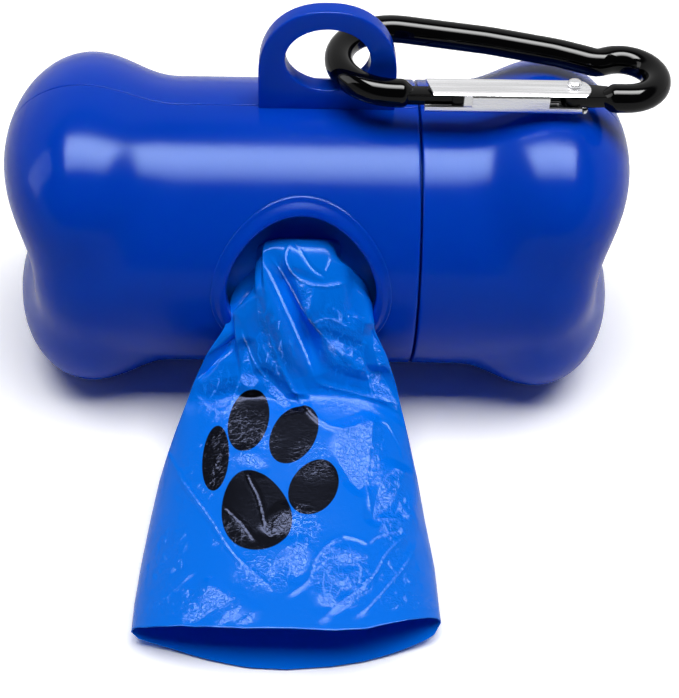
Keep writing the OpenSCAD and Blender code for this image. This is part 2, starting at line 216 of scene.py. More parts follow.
def addRoom():
    # a white backdrop round the horizon and up behind the object, and a dim room over the camera
    world = bpy.data.worlds.new("white_room")
    bpy.context.scene.world = world
    world.use_nodes = True
    tree = world.node_tree
    tree.nodes.clear()
    path = addNode(tree, "ShaderNodeLightPath")
    way = addNode(tree, "ShaderNodeSeparateXYZ", {0: addNode(tree, "ShaderNodeTexCoord").outputs["Generated"]})
    tilt = addNode(tree, "ShaderNodeMath", {0: way.outputs["Y"], 1: studio["backdropTilt"], 2: way.outputs["Z"]},
                   operation="MULTIPLY_ADD")
    low, high = studio["backdropEdge"]
    fade = addNode(tree, "ShaderNodeMapRange", {
        "Value": tilt, "From Min": low, "From Max": high, "To Min": studio["backdrop"], "To Max": studio["overhead"]},
        interpolation_type="SMOOTHSTEP")
    share = addNode(tree, "ShaderNodeMapRange", {
        "Value": path.outputs["Is Glossy Ray"], "To Min": studio["ambientShare"], "To Max": 1.0})
    dimmed = addNode(tree, "ShaderNodeMath", {0: fade, 1: share}, operation="MULTIPLY")
    strength = addNode(tree, "ShaderNodeMath", {0: dimmed, 1: seenStraight(tree, path)}, operation="MAXIMUM")
    sky = addNode(tree, "ShaderNodeBackground", {"Color": (1, 1, 1, 1), "Strength": strength})
    addNode(tree, "ShaderNodeOutputWorld", {"Surface": sky})


def addTable():
    # the table is seen white, and its bounce on the object is that of a light grey
    material, tree = newMaterial("matt_white_table")
    path = addNode(tree, "ShaderNodeLightPath")
    level = addNode(tree, "ShaderNodeMapRange", {
        "Value": seenStraight(tree, path), "To Min": studio["floorBounce"], "To Max": studio["floorShown"]})
    level = addNode(tree, "ShaderNodeMapRange", {
        "Value": path.outputs["Is Glossy Ray"], "To Min": level, "To Max": studio["floorGloss"]})
    finishSurface(tree, addNode(tree, "ShaderNodeBsdfDiffuse", {"Color": level}))
    mesh = bpy.data.meshes.new("floor")
    reach, z = studio["floorReach"], -studio["floorDrop"] * mm
    mesh.from_pydata([(x, y, z) for x, y in ((-reach, -reach), (reach, -reach), (reach, reach), (-reach, reach))],
                     [], [(0, 1, 2, 3)])
    mesh.materials.append(material)
    newObject("floor", mesh)


def addLamps():
    for name, (size, power, place, inGloss, inMatt) in studio["lamps"].items():
        lamp = bpy.data.lights.new(name, "AREA")
        lamp.shape = "RECTANGLE"
        lamp.size, lamp.size_y = size
        lamp.energy = power
        holder = newObject(name, lamp)
        holder.visible_glossy, holder.visible_diffuse = inGloss, inMatt
        holder.location = (np.array(place) + boneCentre) * mm
        if name == "softbox_gloss":
            lamp.use_nodes = True
            tree = lamp.node_tree
            across = addNode(tree, "ShaderNodeNewGeometry").outputs["Parametric"]
            depth = addNode(tree, "ShaderNodeSeparateXYZ", {0: across}).outputs["Y"]
            level = colourRamp(tree, depth, [(at, (share, share, share, 1)) for at, share in studio["nearSpread"]])
            tree.links.new(level.outputs["Color"], tree.nodes["Emission"].inputs["Color"])
        if name == "side_gloss":  # the others hang level
            aim = Vector((boneCentre - np.array([0, 10, 0])) * mm) - holder.location
            holder.rotation_mode = "QUATERNION"
            holder.rotation_quaternion = aim.to_track_quat("-Z", "Y")


bpy.context.scene.view_settings.view_transform = "Standard"
addRoom()
addTable()
addLamps()
print("studio ready")


def mouldedPlastic(name, colour, shade):
    # injection-moulded ABS: smooth and glossy, with faint flow unevenness that softens reflections
    material, tree = newMaterial(name)
    place = addNode(tree, "ShaderNodeTexCoord").outputs["Object"]
    flow = addNode(tree, "ShaderNodeTexNoise", {"Vector": place, "Scale": 60, "Detail": 3})
    tint = colourRamp(tree, flow, [(0.3, hexColour(colour)), (0.7, hexColour(shade))])
    rough = addNode(tree, "ShaderNodeMapRange", {
        "Value": flow, "From Min": 0.3, "From Max": 0.7, "To Min": 0.15, "To Max": 0.19})
    grain = addNode(tree, "ShaderNodeTexNoise", {"Vector": place, "Scale": 2600, "Detail": 2})  # 0.4 mm mould grain
    bump = addNode(tree, "ShaderNodeBump", {"Height": grain, "Strength": 0.1, "Distance": 0.00004})
    shader = addNode(tree, "ShaderNodeBsdfPrincipled", {
        "Base Color": tint, "Roughness": rough, "Normal": bump, "IOR": 1.25, "Specular Tint": (0.5, 0.7, 1, 1),
        "Subsurface Weight": 0.5, "Subsurface Radius": (0.1, 0.4, 1.0), "Subsurface Scale": 0.0015})
    finishSurface(tree, shader)
    return material


def cardStock():
    # grey-brown wound card: matt, with long paper fibres round the tube
    material, tree = newMaterial("wound_card")
    place = addNode(tree, "ShaderNodeTexCoord").outputs["Object"]
    fibres = addNode(tree, "ShaderNodeTexNoise", {"Vector": place, "Scale": 900, "Detail": 5, "Roughness": 0.7})
    tint = colourRamp(tree, fibres, [(0.3, hexColour("#A68A63")), (0.7, hexColour("#C9AE84"))])
    bump = addNode(tree, "ShaderNodeBump", {"Height": fibres, "Strength": 0.3, "Distance": 0.0001})
    shader = addNode(tree, "ShaderNodeBsdfPrincipled", {"Base Color": tint, "Roughness": 0.85, "Normal": bump})
    finishSurface(tree, shader)
    return material


def glossBlack():
    # aluminium bar with a glossy black coat: thin, crisp highlights over an even black
    material, tree = newMaterial("black_coated_bar")
    place = addNode(tree, "ShaderNodeTexCoord").outputs["Object"]
    ripple = addNode(tree, "ShaderNodeTexNoise", {"Vector": place, "Scale": 350, "Detail": 2})
    rough = addNode(tree, "ShaderNodeMapRange", {
        "Value": ripple, "From Min": 0.3, "From Max": 0.7, "To Min": 0.05, "To Max": 0.09})
    bump = addNode(tree, "ShaderNodeBump", {"Height": ripple, "Strength": 0.05, "Distance": 0.00008})
    shader = addNode(tree, "ShaderNodeBsdfPrincipled", {
        "Base Color": hexColour("#030304"), "Roughness": rough, "Normal": bump, "IOR": 1.28})
    finishSurface(tree, shader)
    return material


def platedSteel():
    # nickel-plated folded sheet: bright metal with fine lines along the gate
    material, tree = newMaterial("nickel_plated_sheet")
    place = addNode(tree, "ShaderNodeTexCoord").outputs["Object"]
    along = addNode(tree, "ShaderNodeMapping", {"Vector": place, "Scale": (60, 4000, 4000)})
    lines = addNode(tree, "ShaderNodeTexNoise", {"Vector": along, "Scale": 1, "Detail": 3})
    rough = addNode(tree, "ShaderNodeMapRange", {
        "Value": lines, "From Min": 0.3, "From Max": 0.7, "To Min": 0.18, "To Max": 0.34})
    bump = addNode(tree, "ShaderNodeBump", {"Height": lines, "Strength": 0.1, "Distance": 0.00003})
    shader = addNode(tree, "ShaderNodeBsdfPrincipled", {
        "Base Color": hexColour("#EFEFF1"), "Metallic": 1.0, "Roughness": rough, "Normal": bump})
    finishSurface(tree, shader)
    return material


housingPlastic = mouldedPlastic("glossy_blue_abs", "#0041C3", "#0044C9")
innerPlastic = mouldedPlastic("blue_abs_inner_parts", "#003DB6", "#0041BE")
card = cardStock()
blackBar = glossBlack()
bright = platedSteel()

housing = {
    "boneLength": 86, "shaftRadius": 20.25, "valleyDepth": 4.3, "valleyRound": 8.1,
    "lobe": (11.2, 17.95, 11.55), "lobeSpread": 11.55, "lobeBlend": 4.2, "wall": 1.6,
    "seam": 13.65, "seamGap": 0.3, "seamRound": 0.28, "partingGap": 0.1, "partingRound": 0.12,
    "ground": -22.45, "rayIn": 9.8, "holeRadius": 11.3, "holeSlack": 0.3, "hole": (-2, 3.5),
    # the mesh: rays' shortest and longest reach, rays from edge to middle and round an end, spacing of the sections
    "reach": (4.0, 45.0), "halvings": 30, "turns": 44, "endTurns": 121, "spacing": 0.55,
    # distances from the parting edge and from the seam that carry their rounding
    "partingSteps": [0, 0.015, 0.04, 0.07, 0.12, 0.3], "seamSteps": [0.5, 0.28, 0.18, 0.1, 0.05, 0.02, 0],
    "seamClear": 0.6,  # no other section lies this close to the seam
}
lobeX = housing["boneLength"] / 2 - housing["lobe"][0]
sweepX = lobeX - housing["rayIn"]


def boneField(p):
    # negative inside: a round-cornered shaft blended with the four lobes
    x, y, z = np.abs(p[..., 0]), p[..., 1], np.abs(p[..., 2])
    r = housing["valleyRound"]
    dx = x - (housing["boneLength"] / 2 - housing["valleyDepth"] - r)
    dr = np.hypot(y, z) - (housing["shaftRadius"] - r)
    shaft = np.minimum(np.maximum(dx, dr), 0) + np.hypot(np.maximum(dx, 0), np.maximum(dr, 0)) - r
    rx, ry, rz = housing["lobe"]
    ux, uy, uz = (x - lobeX) / rx, y / ry, (z - housing["lobeSpread"]) / rz
    size = np.sqrt(ux**2 + uy**2 + uz**2)
    slope = np.sqrt((ux / rx) ** 2 + (uy / ry) ** 2 + (uz / rz) ** 2)
    lobe = size * (size - 1) / np.maximum(slope, 1e-6)
    k = housing["lobeBlend"]
    h = np.clip(0.5 + 0.5 * (lobe - shaft) / k, 0, 1)
    return lobe * (1 - h) + shaft * h - k * h * (1 - h)


def boneSurface(starts, rays, level):
    # how far along each ray the field passes a level, found by halving
    low, high = (np.full(rays.shape[:-1], reach) for reach in housing["reach"])
    for _ in range(housing["halvings"]):
        middle = (low + high) / 2
        inside = boneField(starts + rays * middle[..., None]) < level
        low, high = np.where(inside, middle, low), np.where(inside, high, middle)
    return low


def edgeInset(distance, radius):
    # how far a rounded edge lies in from the surface, at a distance from its parting
    d = np.clip(distance, 0, radius)
    return radius - np.sqrt(np.maximum(radius**2 - (radius - d) ** 2, 0))


def halfShell(side, half):
    # outer and inner skin of one half: a fan round the bone's end, then sections from there to the seam
    edgeSteps = np.array(housing["partingSteps"])
    turns = np.concatenate([np.zeros(len(edgeSteps)), np.linspace(0, math.pi / 2, housing["turns"])[1:]])

    def fan(start, w):
        # rays from the parting edge at angle w off the top, out to the middle of the half
        edgeRay = np.stack([side * np.sin(w), 0 * w, np.cos(w)], -1)
        reach = boneSurface(start, edgeRay, 0)
        v = np.broadcast_to(turns, w.shape + turns.shape).copy()
        v[..., :len(edgeSteps)] = edgeSteps / reach[..., None]
        rays = np.cos(v)[..., None] * edgeRay[..., None, :]
        rays[..., 1] = half * np.sin(v)
        return rays

    wEnd = np.linspace(0, math.pi, housing["endTurns"])
    startEnd = np.broadcast_to(np.array([side * sweepX, 0.0, 0.0]), (len(wEnd), 3)).copy()
    seamEdge = housing["seam"] + side * housing["seamGap"] / 2
    run = np.linspace(side * sweepX, seamEdge, 3 + int(abs(seamEdge - side * sweepX) / housing["spacing"]))[:-1]
    near = seamEdge + side * np.array(housing["seamSteps"])
    xs = np.concatenate([run[np.abs(run - seamEdge) > housing["seamClear"]], near])
    starts = np.stack([xs, 0 * xs, 0 * xs], -1)
    raysTop, raysLow = fan(starts, np.zeros(len(xs))), fan(starts, np.full(len(xs), math.pi))
    rays = np.concatenate([raysTop, raysLow[:, ::-1][:, 1:]], 1)

    outer, inner, faces, count = [], [], [], 0
    for start, ray in ((startEnd[:, None], fan(startEnd, wEnd)), (starts[:, None], rays)):
        skin = start + ray * boneSurface(start + 0 * ray, ray, 0)[..., None]
        inset = edgeInset(np.abs(skin[..., 1]), housing["partingRound"])
        inset = np.maximum(inset, edgeInset(np.abs(skin[..., 0] - seamEdge), housing["seamRound"]))
        skin = start + ray * boneSurface(start + 0 * ray, ray, -inset)[..., None]
        lining = start + ray * boneSurface(start + 0 * ray, ray, -housing["wall"])[..., None]
        for points in (skin, lining):
            points[..., 1] += half * housing["partingGap"] / 2
        skin[..., 2] = np.maximum(skin[..., 2], housing["ground"])
        outer.append(skin.reshape(-1, 3))
        inner.append(lining.reshape(-1, 3))
        faces.append(gridFaces(*ray.shape[:2]) + count)
        count += ray.shape[0] * ray.shape[1]
    faces[0] = faces[0][:, ::-1]  # the two patches run round opposite ways
    return np.vstack(outer), np.vstack(inner), np.vstack(faces)


def openOutlet(outer, inner, faces):
    # leaves out the faces inside the outlet and draws the hole's edge onto its circle
    x0, z0 = housing["hole"]
    away = np.hypot(outer[:, 0] - x0, outer[:, 2] - z0)
    front = outer[:, 1] < 0
    keep = ~((away[faces] < housing["holeRadius"] - housing["holeSlack"]) & front[faces]).any(1)
    gone = np.unique(faces[~keep])
    edge = np.intersect1d(gone, np.unique(faces[keep]))
    angle = np.arctan2(outer[edge, 2] - z0, outer[edge, 0] - x0)
    for skin, radius in ((outer, housing["shaftRadius"]), (inner, housing["shaftRadius"] - housing["wall"])):
        skin[edge, 0] = x0 + housing["holeRadius"] * np.cos(angle)
        skin[edge, 2] = z0 + housing["holeRadius"] * np.sin(angle)
        skin[edge, 1] = -np.sqrt(radius**2 - skin[edge, 2] ** 2)
    return outer, inner, faces[keep]


lug = {
    "x": 1.07, "width": 18.35, "thick": 2.85, "eyeWide": 11.3, "eyeHeight": 9.4, "eyeMiddle": 27.92,
    "arch": 9.9, "archPower": 2.25, "top": 35.3, "front": -0.62, "lean": 0.4, "foot": 18.6,
    "edge": 0.9, "edgeSteps": 6, "angles": (-88.5, 90, 3),  # up the right side, clear of both poles
}


def lugMesh():
    # a slab between its arched outline and the eye, both walked by the same number of points
    half, eyeHalf, eyeTall = lug["width"] / 2, lug["eyeWide"] / 2, lug["eyeHeight"] / 2
    shoulder, power = lug["top"] - lug["arch"], 2 / lug["archPower"]
    eye, outline = [], []
    for a in np.radians(np.arange(*lug["angles"])):
        eye.append((eyeHalf * math.cos(a), lug["eyeMiddle"] + eyeTall * math.sin(a)))
        if a < 0:
            outline.append((half, shoulder + (lug["foot"] - shoulder) * (-a / (math.pi / 2))))
        else:
            outline.append((half * math.cos(a) ** power, shoulder + lug["arch"] * math.sin(a) ** power))
    points = []
    for atBack in (False, True):
        for loop in (eye, outline):
            for x, z in loop + [(-x, z) for x, z in reversed(loop)]:
                rise = (z - lug["foot"]) / (lug["top"] - lug["foot"])
                y = lug["front"] + (lug["thick"] if atBack else lug["lean"] * rise**1.5)
                points.append((lug["x"] + x, y, z))
    n = 2 * len(eye)
    faces = []
    for k in range(n):
        j = (k + 1) % n
        faces.append((k, j, n + j, n + k))
        faces.append((2 * n + k, 3 * n + k, 3 * n + j, 2 * n + j))
        faces.append((n + k, n + j, 3 * n + j, 3 * n + k))
        faces.append((k, 2 * n + k, 2 * n + j, j))
    return closedMesh("lug", points, faces)


def evaluatedMesh(obj):
    graph = bpy.context.evaluated_depsgraph_get()
    graph.update()
    return bpy.data.meshes.new_from_object(obj.evaluated_get(graph))


def bevelled(mesh, width, segments, angle=40):
    carrier = newObject("carrier", mesh)
    bevel = carrier.modifiers.new("edges", "BEVEL")
    bevel.width = width * mm
    bevel.segments = segments
    bevel.limit_method = "ANGLE"
    bevel.angle_limit = math.radians(angle)
    bevel.use_clamp_overlap = True
    result = evaluatedMesh(carrier)
    bpy.data.objects.remove(carrier)
    return result


def joinedMesh(name, meshes):
    joined = bmesh.new()
    for mesh in meshes:
        joined.from_mesh(mesh)
    result = bpy.data.meshes.new(name)
    joined.to_mesh(result)
    joined.free()
    return result


def addHousing():
    for name, side, half, body in (
        ("body_front", -1, -1, "dispenser"), ("body_back", -1, 1, "dispenser"),
        ("cap_front", 1, -1, "cap"), ("cap_back", 1, 1, "cap"),
    ):
        skins = halfShell(side, half)
        if name == "body_front":
            skins = openOutlet(*skins)
        mesh = closedMesh(name, *mergedSkins(*skins))
        if name == "body_back":
            mesh = joinedMesh(name, [mesh, bevelled(lugMesh(), lug["edge"], lug["edgeSteps"])])
        placePiece(name, mesh, housingPlastic, body, 40, name + "_shell")
        print("housing piece", name, len(mesh.polygons))


addHousing()

outlet = {
    "x": -2, "z": 3.5, "shaft": 20.25, "steps": 160,
    # distance from the outlet's middle, height over the shaft
    "profile": [
        (12.05, -0.2), (12.05, 0.08), (12.03, 0.15), (11.98, 0.195), (11.92, 0.21), (11.86, 0.212), (11.65, 0.207),
        (11.55, 0.21), (11.48, 0.222), (11.4, 0.244), (11.25, 0.29), (11.1, 0.336), (10.95, 0.378), (10.87, 0.393),
        (10.78, 0.4), (10.6, 0.395), (10.45, 0.37), (10.3, 0.31), (10.18, 0.22), (10.08, 0.08), (10.02, -0.1),
        (10, -0.4), (10, -1.75), (10.06, -1.87), (10.2, -1.9), (11.05, -1.9), (11.2, -1.8), (11.2, -0.2)],
}


def addOutletLip():
    # its section follows the shaft's curve round the outlet
    points = []
    for k in range(outlet["steps"]):
        a = 2 * math.pi * k / outlet["steps"]
        for r, h in outlet["profile"]:
            x, z = outlet["x"] + r * math.cos(a), outlet["z"] + r * math.sin(a)
            points.append((x, -math.sqrt((outlet["shaft"] + h) ** 2 - z * z), z))
    mesh = closedMesh("outlet_ring", points, ringFaces(outlet["steps"], len(outlet["profile"])))
    placePiece("outlet_ring", mesh, housingPlastic, "dispenser", 50, "outlet_lip")


addOutletLip()
for node, material in (
    ("neck_sleeve", innerPlastic), ("cap_collar", innerPlastic), ("roll_core", card), ("gate_plunger", blackBar),
):
    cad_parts[node].data.materials.clear()
    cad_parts[node].data.materials.append(material)
print("housing ready")

clip = {
    "bar": 3.8, "height": 25.45, "loop": (10.056, 3.6, 7.5), "nose": (40.406, 0.1, 4.45),
    "shoulder": 12.2, "tang": 37.0, "spineSlope": 11.5, "spineBend": 5, "spineMid": 11.75, "noseTurn": 130,
    "spineEnd": 8, "noseEase": (-1.6, 0.8),  # from the nose's centre to the last kink, and from its ring to the bar
    "rivet": (33.306, -4.0), "sides": 36, "loopSteps": 60, "noseSteps": 48, "step": 0.25, "smoothing": 14,
    # share of the bar's thickness at distances from its ends
    "shoulderTaper": [(0, 0.5), (0.1, 0.58), (0.25, 0.62), (0.9, 0.9), (1.1, 0.96), (1.4, 1.0)],
    # flat tongue in the gate's nose with its wider end: from and to in x, y and z, and the edges' rounding
    "tongueBlocks": [(11.4, 18.0, -5.5, -3.2, -0.8, 0.8, 0.25), (17.2, 18.9, -5.75, -2.9, -1.15, 1.0, 0.4)],
    # tang in the hinge, rounded about the rivet: radius, end, front, back, half height, the edges' rounding
    "tangSlab": (1.8, 37.9, -5.3, -2.7, 0.85, 0.15), "tangAngles": (90, 300, 15),
}


def barPath():
    # middle line of the bar from the gate's nose round the loop and the small eye to its hinge
    lx, ly, lr = clip["loop"]
    nx, ny, nr = clip["nose"]

    def loopPoint(a):
        return np.array([lx + lr * math.cos(a), ly + lr * math.sin(a)])

    def nosePoint(a):
        return np.array([nx + nr * math.cos(a), ny + nr * math.sin(a)])

    slope, steeper = math.radians(clip["spineSlope"]), math.radians(clip["spineSlope"] + clip["spineBend"])
    turn = math.radians(clip["noseTurn"])
    kink = loopPoint(math.pi / 2 - slope) + clip["spineMid"] * np.array([1, -math.tan(slope)])
    tail = kink + (nx - clip["spineEnd"] - kink[0]) * np.array([1, -math.tan(steeper)])
    loopSteps, noseSteps = clip["loopSteps"], clip["noseSteps"]
    corners = [np.array([clip["shoulder"], ly - lr])]
    corners += [loopPoint(math.radians(270) - (math.pi + slope) * i / loopSteps) for i in range(loopSteps + 1)]
    corners += [kink, tail, nosePoint(turn) + np.array(clip["noseEase"])]
    corners += [nosePoint(turn - (turn + math.pi / 2) * i / noseSteps) for i in range(noseSteps + 1)]
    corners = np.array(corners + [np.array([clip["tang"], ny - nr])])
    lengths = travelled(corners)
    even = np.arange(0, lengths[-1] + 0.01, clip["step"])
    path = np.stack([np.interp(even, lengths, corners[:, i]) for i in (0, 1)], -1)
    return smoothed(path, clip["smoothing"])  # rounds the kinks as a bending die does


def newShapeTree(name, sockets):
    # a Geometry Nodes tree with named inputs; sockets are (name, kind, value)
    tree = bpy.data.node_groups.new(name, "GeometryNodeTree")
    for way in ("INPUT", "OUTPUT"):
        tree.interface.new_socket("Geometry", in_out=way, socket_type="NodeSocketGeometry")
    for label, kind, _ in sockets:
        tree.interface.new_socket(label, in_out="INPUT", socket_type=kind)
    return tree, addNode(tree, "NodeGroupInput").outputs


def treeMesh(tree, shape, material, sockets, base):
    # closes the tree with its last nodes, and gives its result on a base mesh as a plain mesh
    real = addNode(tree, "GeometryNodeRealizeInstances", {"Geometry": shape})
    painted = addNode(tree, "GeometryNodeSetMaterial", {"Geometry": real, "Material": material})
    addNode(tree, "NodeGroupOutput", {"Geometry": painted})
    carrier = newObject("carrier", base)
    modifier = carrier.modifiers.new("shape", "NODES")
    modifier.node_group = tree
    keys = {item.name: item.identifier for item in tree.interface.items_tree if item.in_out == "INPUT"}
    for label, _, value in sockets:
        modifier[keys[label]] = value
    carrier.update_tag()
    result = evaluatedMesh(carrier)
    bpy.data.objects.remove(carrier)
    return facedOut(result)


def sweptBar():
    # round bar along its path, narrowed at both ends to the shoulders of its tongues
    path = barPath()
    passed = travelled(path)
    girth = np.interp(np.minimum(passed, passed[-1] - passed), *np.array(clip["shoulderTaper"]).T)
    line = bpy.data.meshes.new("bar_line")
    places = (np.column_stack([path, np.full(len(path), clip["height"])]) + boneCentre) * mm
    line.from_pydata(places.tolist(), [(k, k + 1) for k in range(len(path) - 1)], [])
    line.attributes.new("girth", "FLOAT", "POINT").data.foreach_set("value", girth.astype(np.float32))
    sockets = [("Radius", "NodeSocketFloat", clip["bar"] / 2 * mm), ("Sides", "NodeSocketInt", clip["sides"])]
    tree, given = newShapeTree("bar_along_path", sockets)
    share = addNode(tree, "GeometryNodeInputNamedAttribute", {"Name": "girth"}, data_type="FLOAT")
    curve = addNode(tree, "GeometryNodeMeshToCurve", {"Mesh": given["Geometry"]})
    section = addNode(tree, "GeometryNodeCurvePrimitiveCircle", {
        "Resolution": given["Sides"], "Radius": given["Radius"]}, mode="RADIUS")
    bar = addNode(tree, "GeometryNodeCurveToMesh", {
        "Curve": curve, "Profile Curve": section, "Scale": share, "Fill Caps": True})
    return treeMesh(tree, bar, blackBar, sockets, line)


def slabMesh(outline, z0, z1):
    # an outline in x and y, between two heights over the bar's middle
    n = len(outline)
    points = [(x, y, clip["height"] + z) for z in (z0, z1) for x, y in outline]
    faces = [list(range(n))[::-1], list(range(n, 2 * n))]
    faces += [(k, (k + 1) % n, n + (k + 1) % n, n + k) for k in range(n)]
    return closedMesh("slab", points, faces)


def addCarabiner():
    parts = [sweptBar()]
    for x0, x1, y0, y1, z0, z1, edge in clip["tongueBlocks"]:
        parts.append(bevelled(slabMesh([(x0, y0), (x1, y0), (x1, y1), (x0, y1)], z0, z1), edge, 2))
    radius, end, front, back, tall, edge = clip["tangSlab"]
    x, y = clip["rivet"]
    angles = np.radians(np.linspace(*clip["tangAngles"]))
    tang = [(x + radius * math.cos(a), y + radius * math.sin(a)) for a in angles]
    parts.append(bevelled(slabMesh(tang + [(end, front), (end, back)], -tall, tall), edge, 2))
    mesh = joinedMesh("carabiner_bar", parts)
    placePiece("carabiner_bar", mesh, blackBar, "carabiner", 35, "carabiner_frame")


addCarabiner()

gate = {
    "x0": 13.9, "front": -6.25, "back": -2.6, "high": 3.0, "sheet": 0.35, "fold": 0.6,
    "notchNose": 19.85, "notchHinge": 29.9, "slant": 0.95, "lowSlant": -0.15, "endRadius": 2.05,
    # rows over each flange and down the front, and columns before, along and behind the part between the notches
    "flangeRows": 8, "frontRows": 5, "foldAngles": [15, 30, 45, 60, 75], "columns": (7, 14, 9),
    "notchRows": (10, 15),
}


def addGate():
    top, fold, foldY = gate["high"] / 2, gate["fold"], gate["front"] + gate["fold"]
    middleY = (gate["front"] + gate["back"]) / 2
    bend = np.radians(gate["foldAngles"])
    before, along, behind = gate["columns"]

    def section(inset):
        # y and height round the channel, from the top flange's back edge to the bottom one's
        r = fold - inset
        rows = [(y, top - inset) for y in np.linspace(gate["back"], foldY, gate["flangeRows"])]
        rows += [(foldY - r * math.sin(a), top - fold + r * math.cos(a)) for a in bend]
        rows += [(gate["front"] + inset, z) for z in np.linspace(top - fold, fold - top, gate["frontRows"])]
        rows += [(foldY - r * math.sin(a), fold - top - r * math.cos(a)) for a in bend[::-1]]
        rows += [(y, inset - top) for y in np.linspace(foldY, gate["back"], gate["flangeRows"])]
        return rows

    def columnsAt(y, z):
        # x from the slanted nose to the round end at the hinge
        lean = gate["slant"] * (gate["back"] - y) / (gate["back"] - gate["front"]) if z > 0 else gate["lowSlant"]
        right = clip["rivet"][0] + math.sqrt(max(gate["endRadius"] ** 2 - (y - middleY) ** 2, 0.01))
        return np.concatenate([
            np.linspace(gate["x0"] + lean, gate["notchNose"], before),
            np.linspace(gate["notchNose"], gate["notchHinge"], along)[1:],
            np.linspace(gate["notchHinge"], right, behind)[1:]])

    xs = np.array([columnsAt(y, z) for y, z in section(0)])
    outer, inner = (
        np.array([[(x, y, clip["height"] + z) for x in row] for row, (y, z) in zip(xs, section(inset))])
        for inset in (0, gate["sheet"]))
    faces = gridFaces(*xs.shape)
    row, column = np.divmod(np.arange(len(faces)), xs.shape[1] - 1)
    first, last = gate["notchRows"]
    notched = (row >= first) & (row <= last) & ((column < before - 1) | (column >= before + along - 2))
    mesh = closedMesh("gate_sheet", *mergedSkins(outer.reshape(-1, 3), inner.reshape(-1, 3), faces[~notched]))
    placePiece("gate_sheet", mesh, bright, "gate", 50, "carabiner_gate")


addGate()

spring = {
    "turns": 7, "radius": 0.75, "wire": 0.36, "start": 22.05, "length": 7.3, "y": -4.075,
    "turnSteps": 24, "wireSides": 10,
}


def addSpring():
    # close-wound wire along the gate, turned on a rising spiral
    wire = spring["wire"]
    place = (np.array([spring["start"] + wire / 2, spring["y"], clip["height"]]) + boneCentre) * mm
    sockets = [
        ("Turns", "NodeSocketFloat", spring["turns"]), ("Coil Radius", "NodeSocketFloat", spring["radius"] * mm),
        ("Wire Radius", "NodeSocketFloat", wire / 2 * mm), ("Place", "NodeSocketVector", tuple(place)),
        ("Length", "NodeSocketFloat", (spring["length"] - wire) * mm)]
    tree, given = newShapeTree("spring_wire", sockets)
    spiral = addNode(tree, "GeometryNodeCurveSpiral", {
        "Resolution": spring["turnSteps"], "Rotations": given["Turns"], "Start Radius": given["Coil Radius"],
        "End Radius": given["Coil Radius"], "Height": given["Length"]})
    section = addNode(tree, "GeometryNodeCurvePrimitiveCircle", {
        "Resolution": spring["wireSides"], "Radius": given["Wire Radius"]}, mode="RADIUS")
    coil = addNode(tree, "GeometryNodeCurveToMesh", {"Curve": spiral, "Profile Curve": section, "Fill Caps": True})
    laid = addNode(tree, "GeometryNodeTransform", {
        "Geometry": coil, "Translation": given["Place"], "Rotation": (0, math.pi / 2, 0)})
    mesh = treeMesh(tree, laid, bright, sockets, bpy.data.meshes.new("empty"))
    placePiece("spring_wire", mesh, bright, "gate", 35, "gate_spring")


addSpring()

rivet = {
    "shank": 0.58, "halfSpan": 1.6, "rise": 0.62, "steps": 40, "y": -3.65,
    # the domed head: radius, and depth under its top
    "dome": [(0, 0), (0.35, 0.01), (0.6, 0.05), (0.8, 0.13), (0.92, 0.24), (0.97, 0.36)],
    # its rounded foot: radius, and height over the sheet
    "foot": [(0.95, 0.02), (0.91, 0)],
}


def addRivet():
    x0, steps = clip["rivet"][0], rivet["steps"]
    half = [(r, rivet["halfSpan"] + rivet["rise"] - deep) for r, deep in rivet["dome"]]
    half += [(r, rivet["halfSpan"] + z) for r, z in rivet["foot"] + [(rivet["shank"], 0)]]
    profile = half + [(r, -z) for r, z in reversed(half)]
    points = [(x0 + r * math.cos(2 * math.pi * k / steps), rivet["y"] + r * math.sin(2 * math.pi * k / steps),
               clip["height"] + z) for r, z in profile[1:-1] for k in range(steps)]
    faces = gridFaces(len(profile) - 2, steps, closed=True).tolist()
    top, low, lastRing = len(points), len(points) + 1, len(points) - steps
    points += [(x0, rivet["y"], clip["height"] + z) for z in (profile[0][1], profile[-1][1])]
    faces += [[top, (k + 1) % steps, k] for k in range(steps)]
    faces += [[low, lastRing + k, lastRing + (k + 1) % steps] for k in range(steps)]
    mesh = closedMesh("hinge_rivet", points, faces)
    placePiece("hinge_rivet", mesh, bright, "carabiner", 40, "gate_rivet")


addRivet()
print("carabiner ready")

film = {
    "colour": "#0078F5", "ink": "#060608", "roughness": 0.2, "cells": 1650, "crackleHeight": 0.00011, "calm": 0.1,
    "lean": (0.0, -0.37, 0.93),  # the way that crushed film turns to the sky
    # the print's pads: place across and down the bag, half width and length in mm, turn, narrowing to the top
    "pads": [
        (-13.0, 33.6, 1.8, 5.0, 0, 0.0), (-8.8, 28.2, 2.75, 4.9, 8, 0.0), (-2.7, 30.4, 3.0, 4.8, 22, 0.0),
        (0.0, 38.3, 3.05, 4.4, 25, 0.05), (-7.6, 41.7, 4.4, 6.1, -16, 0.2)],
}


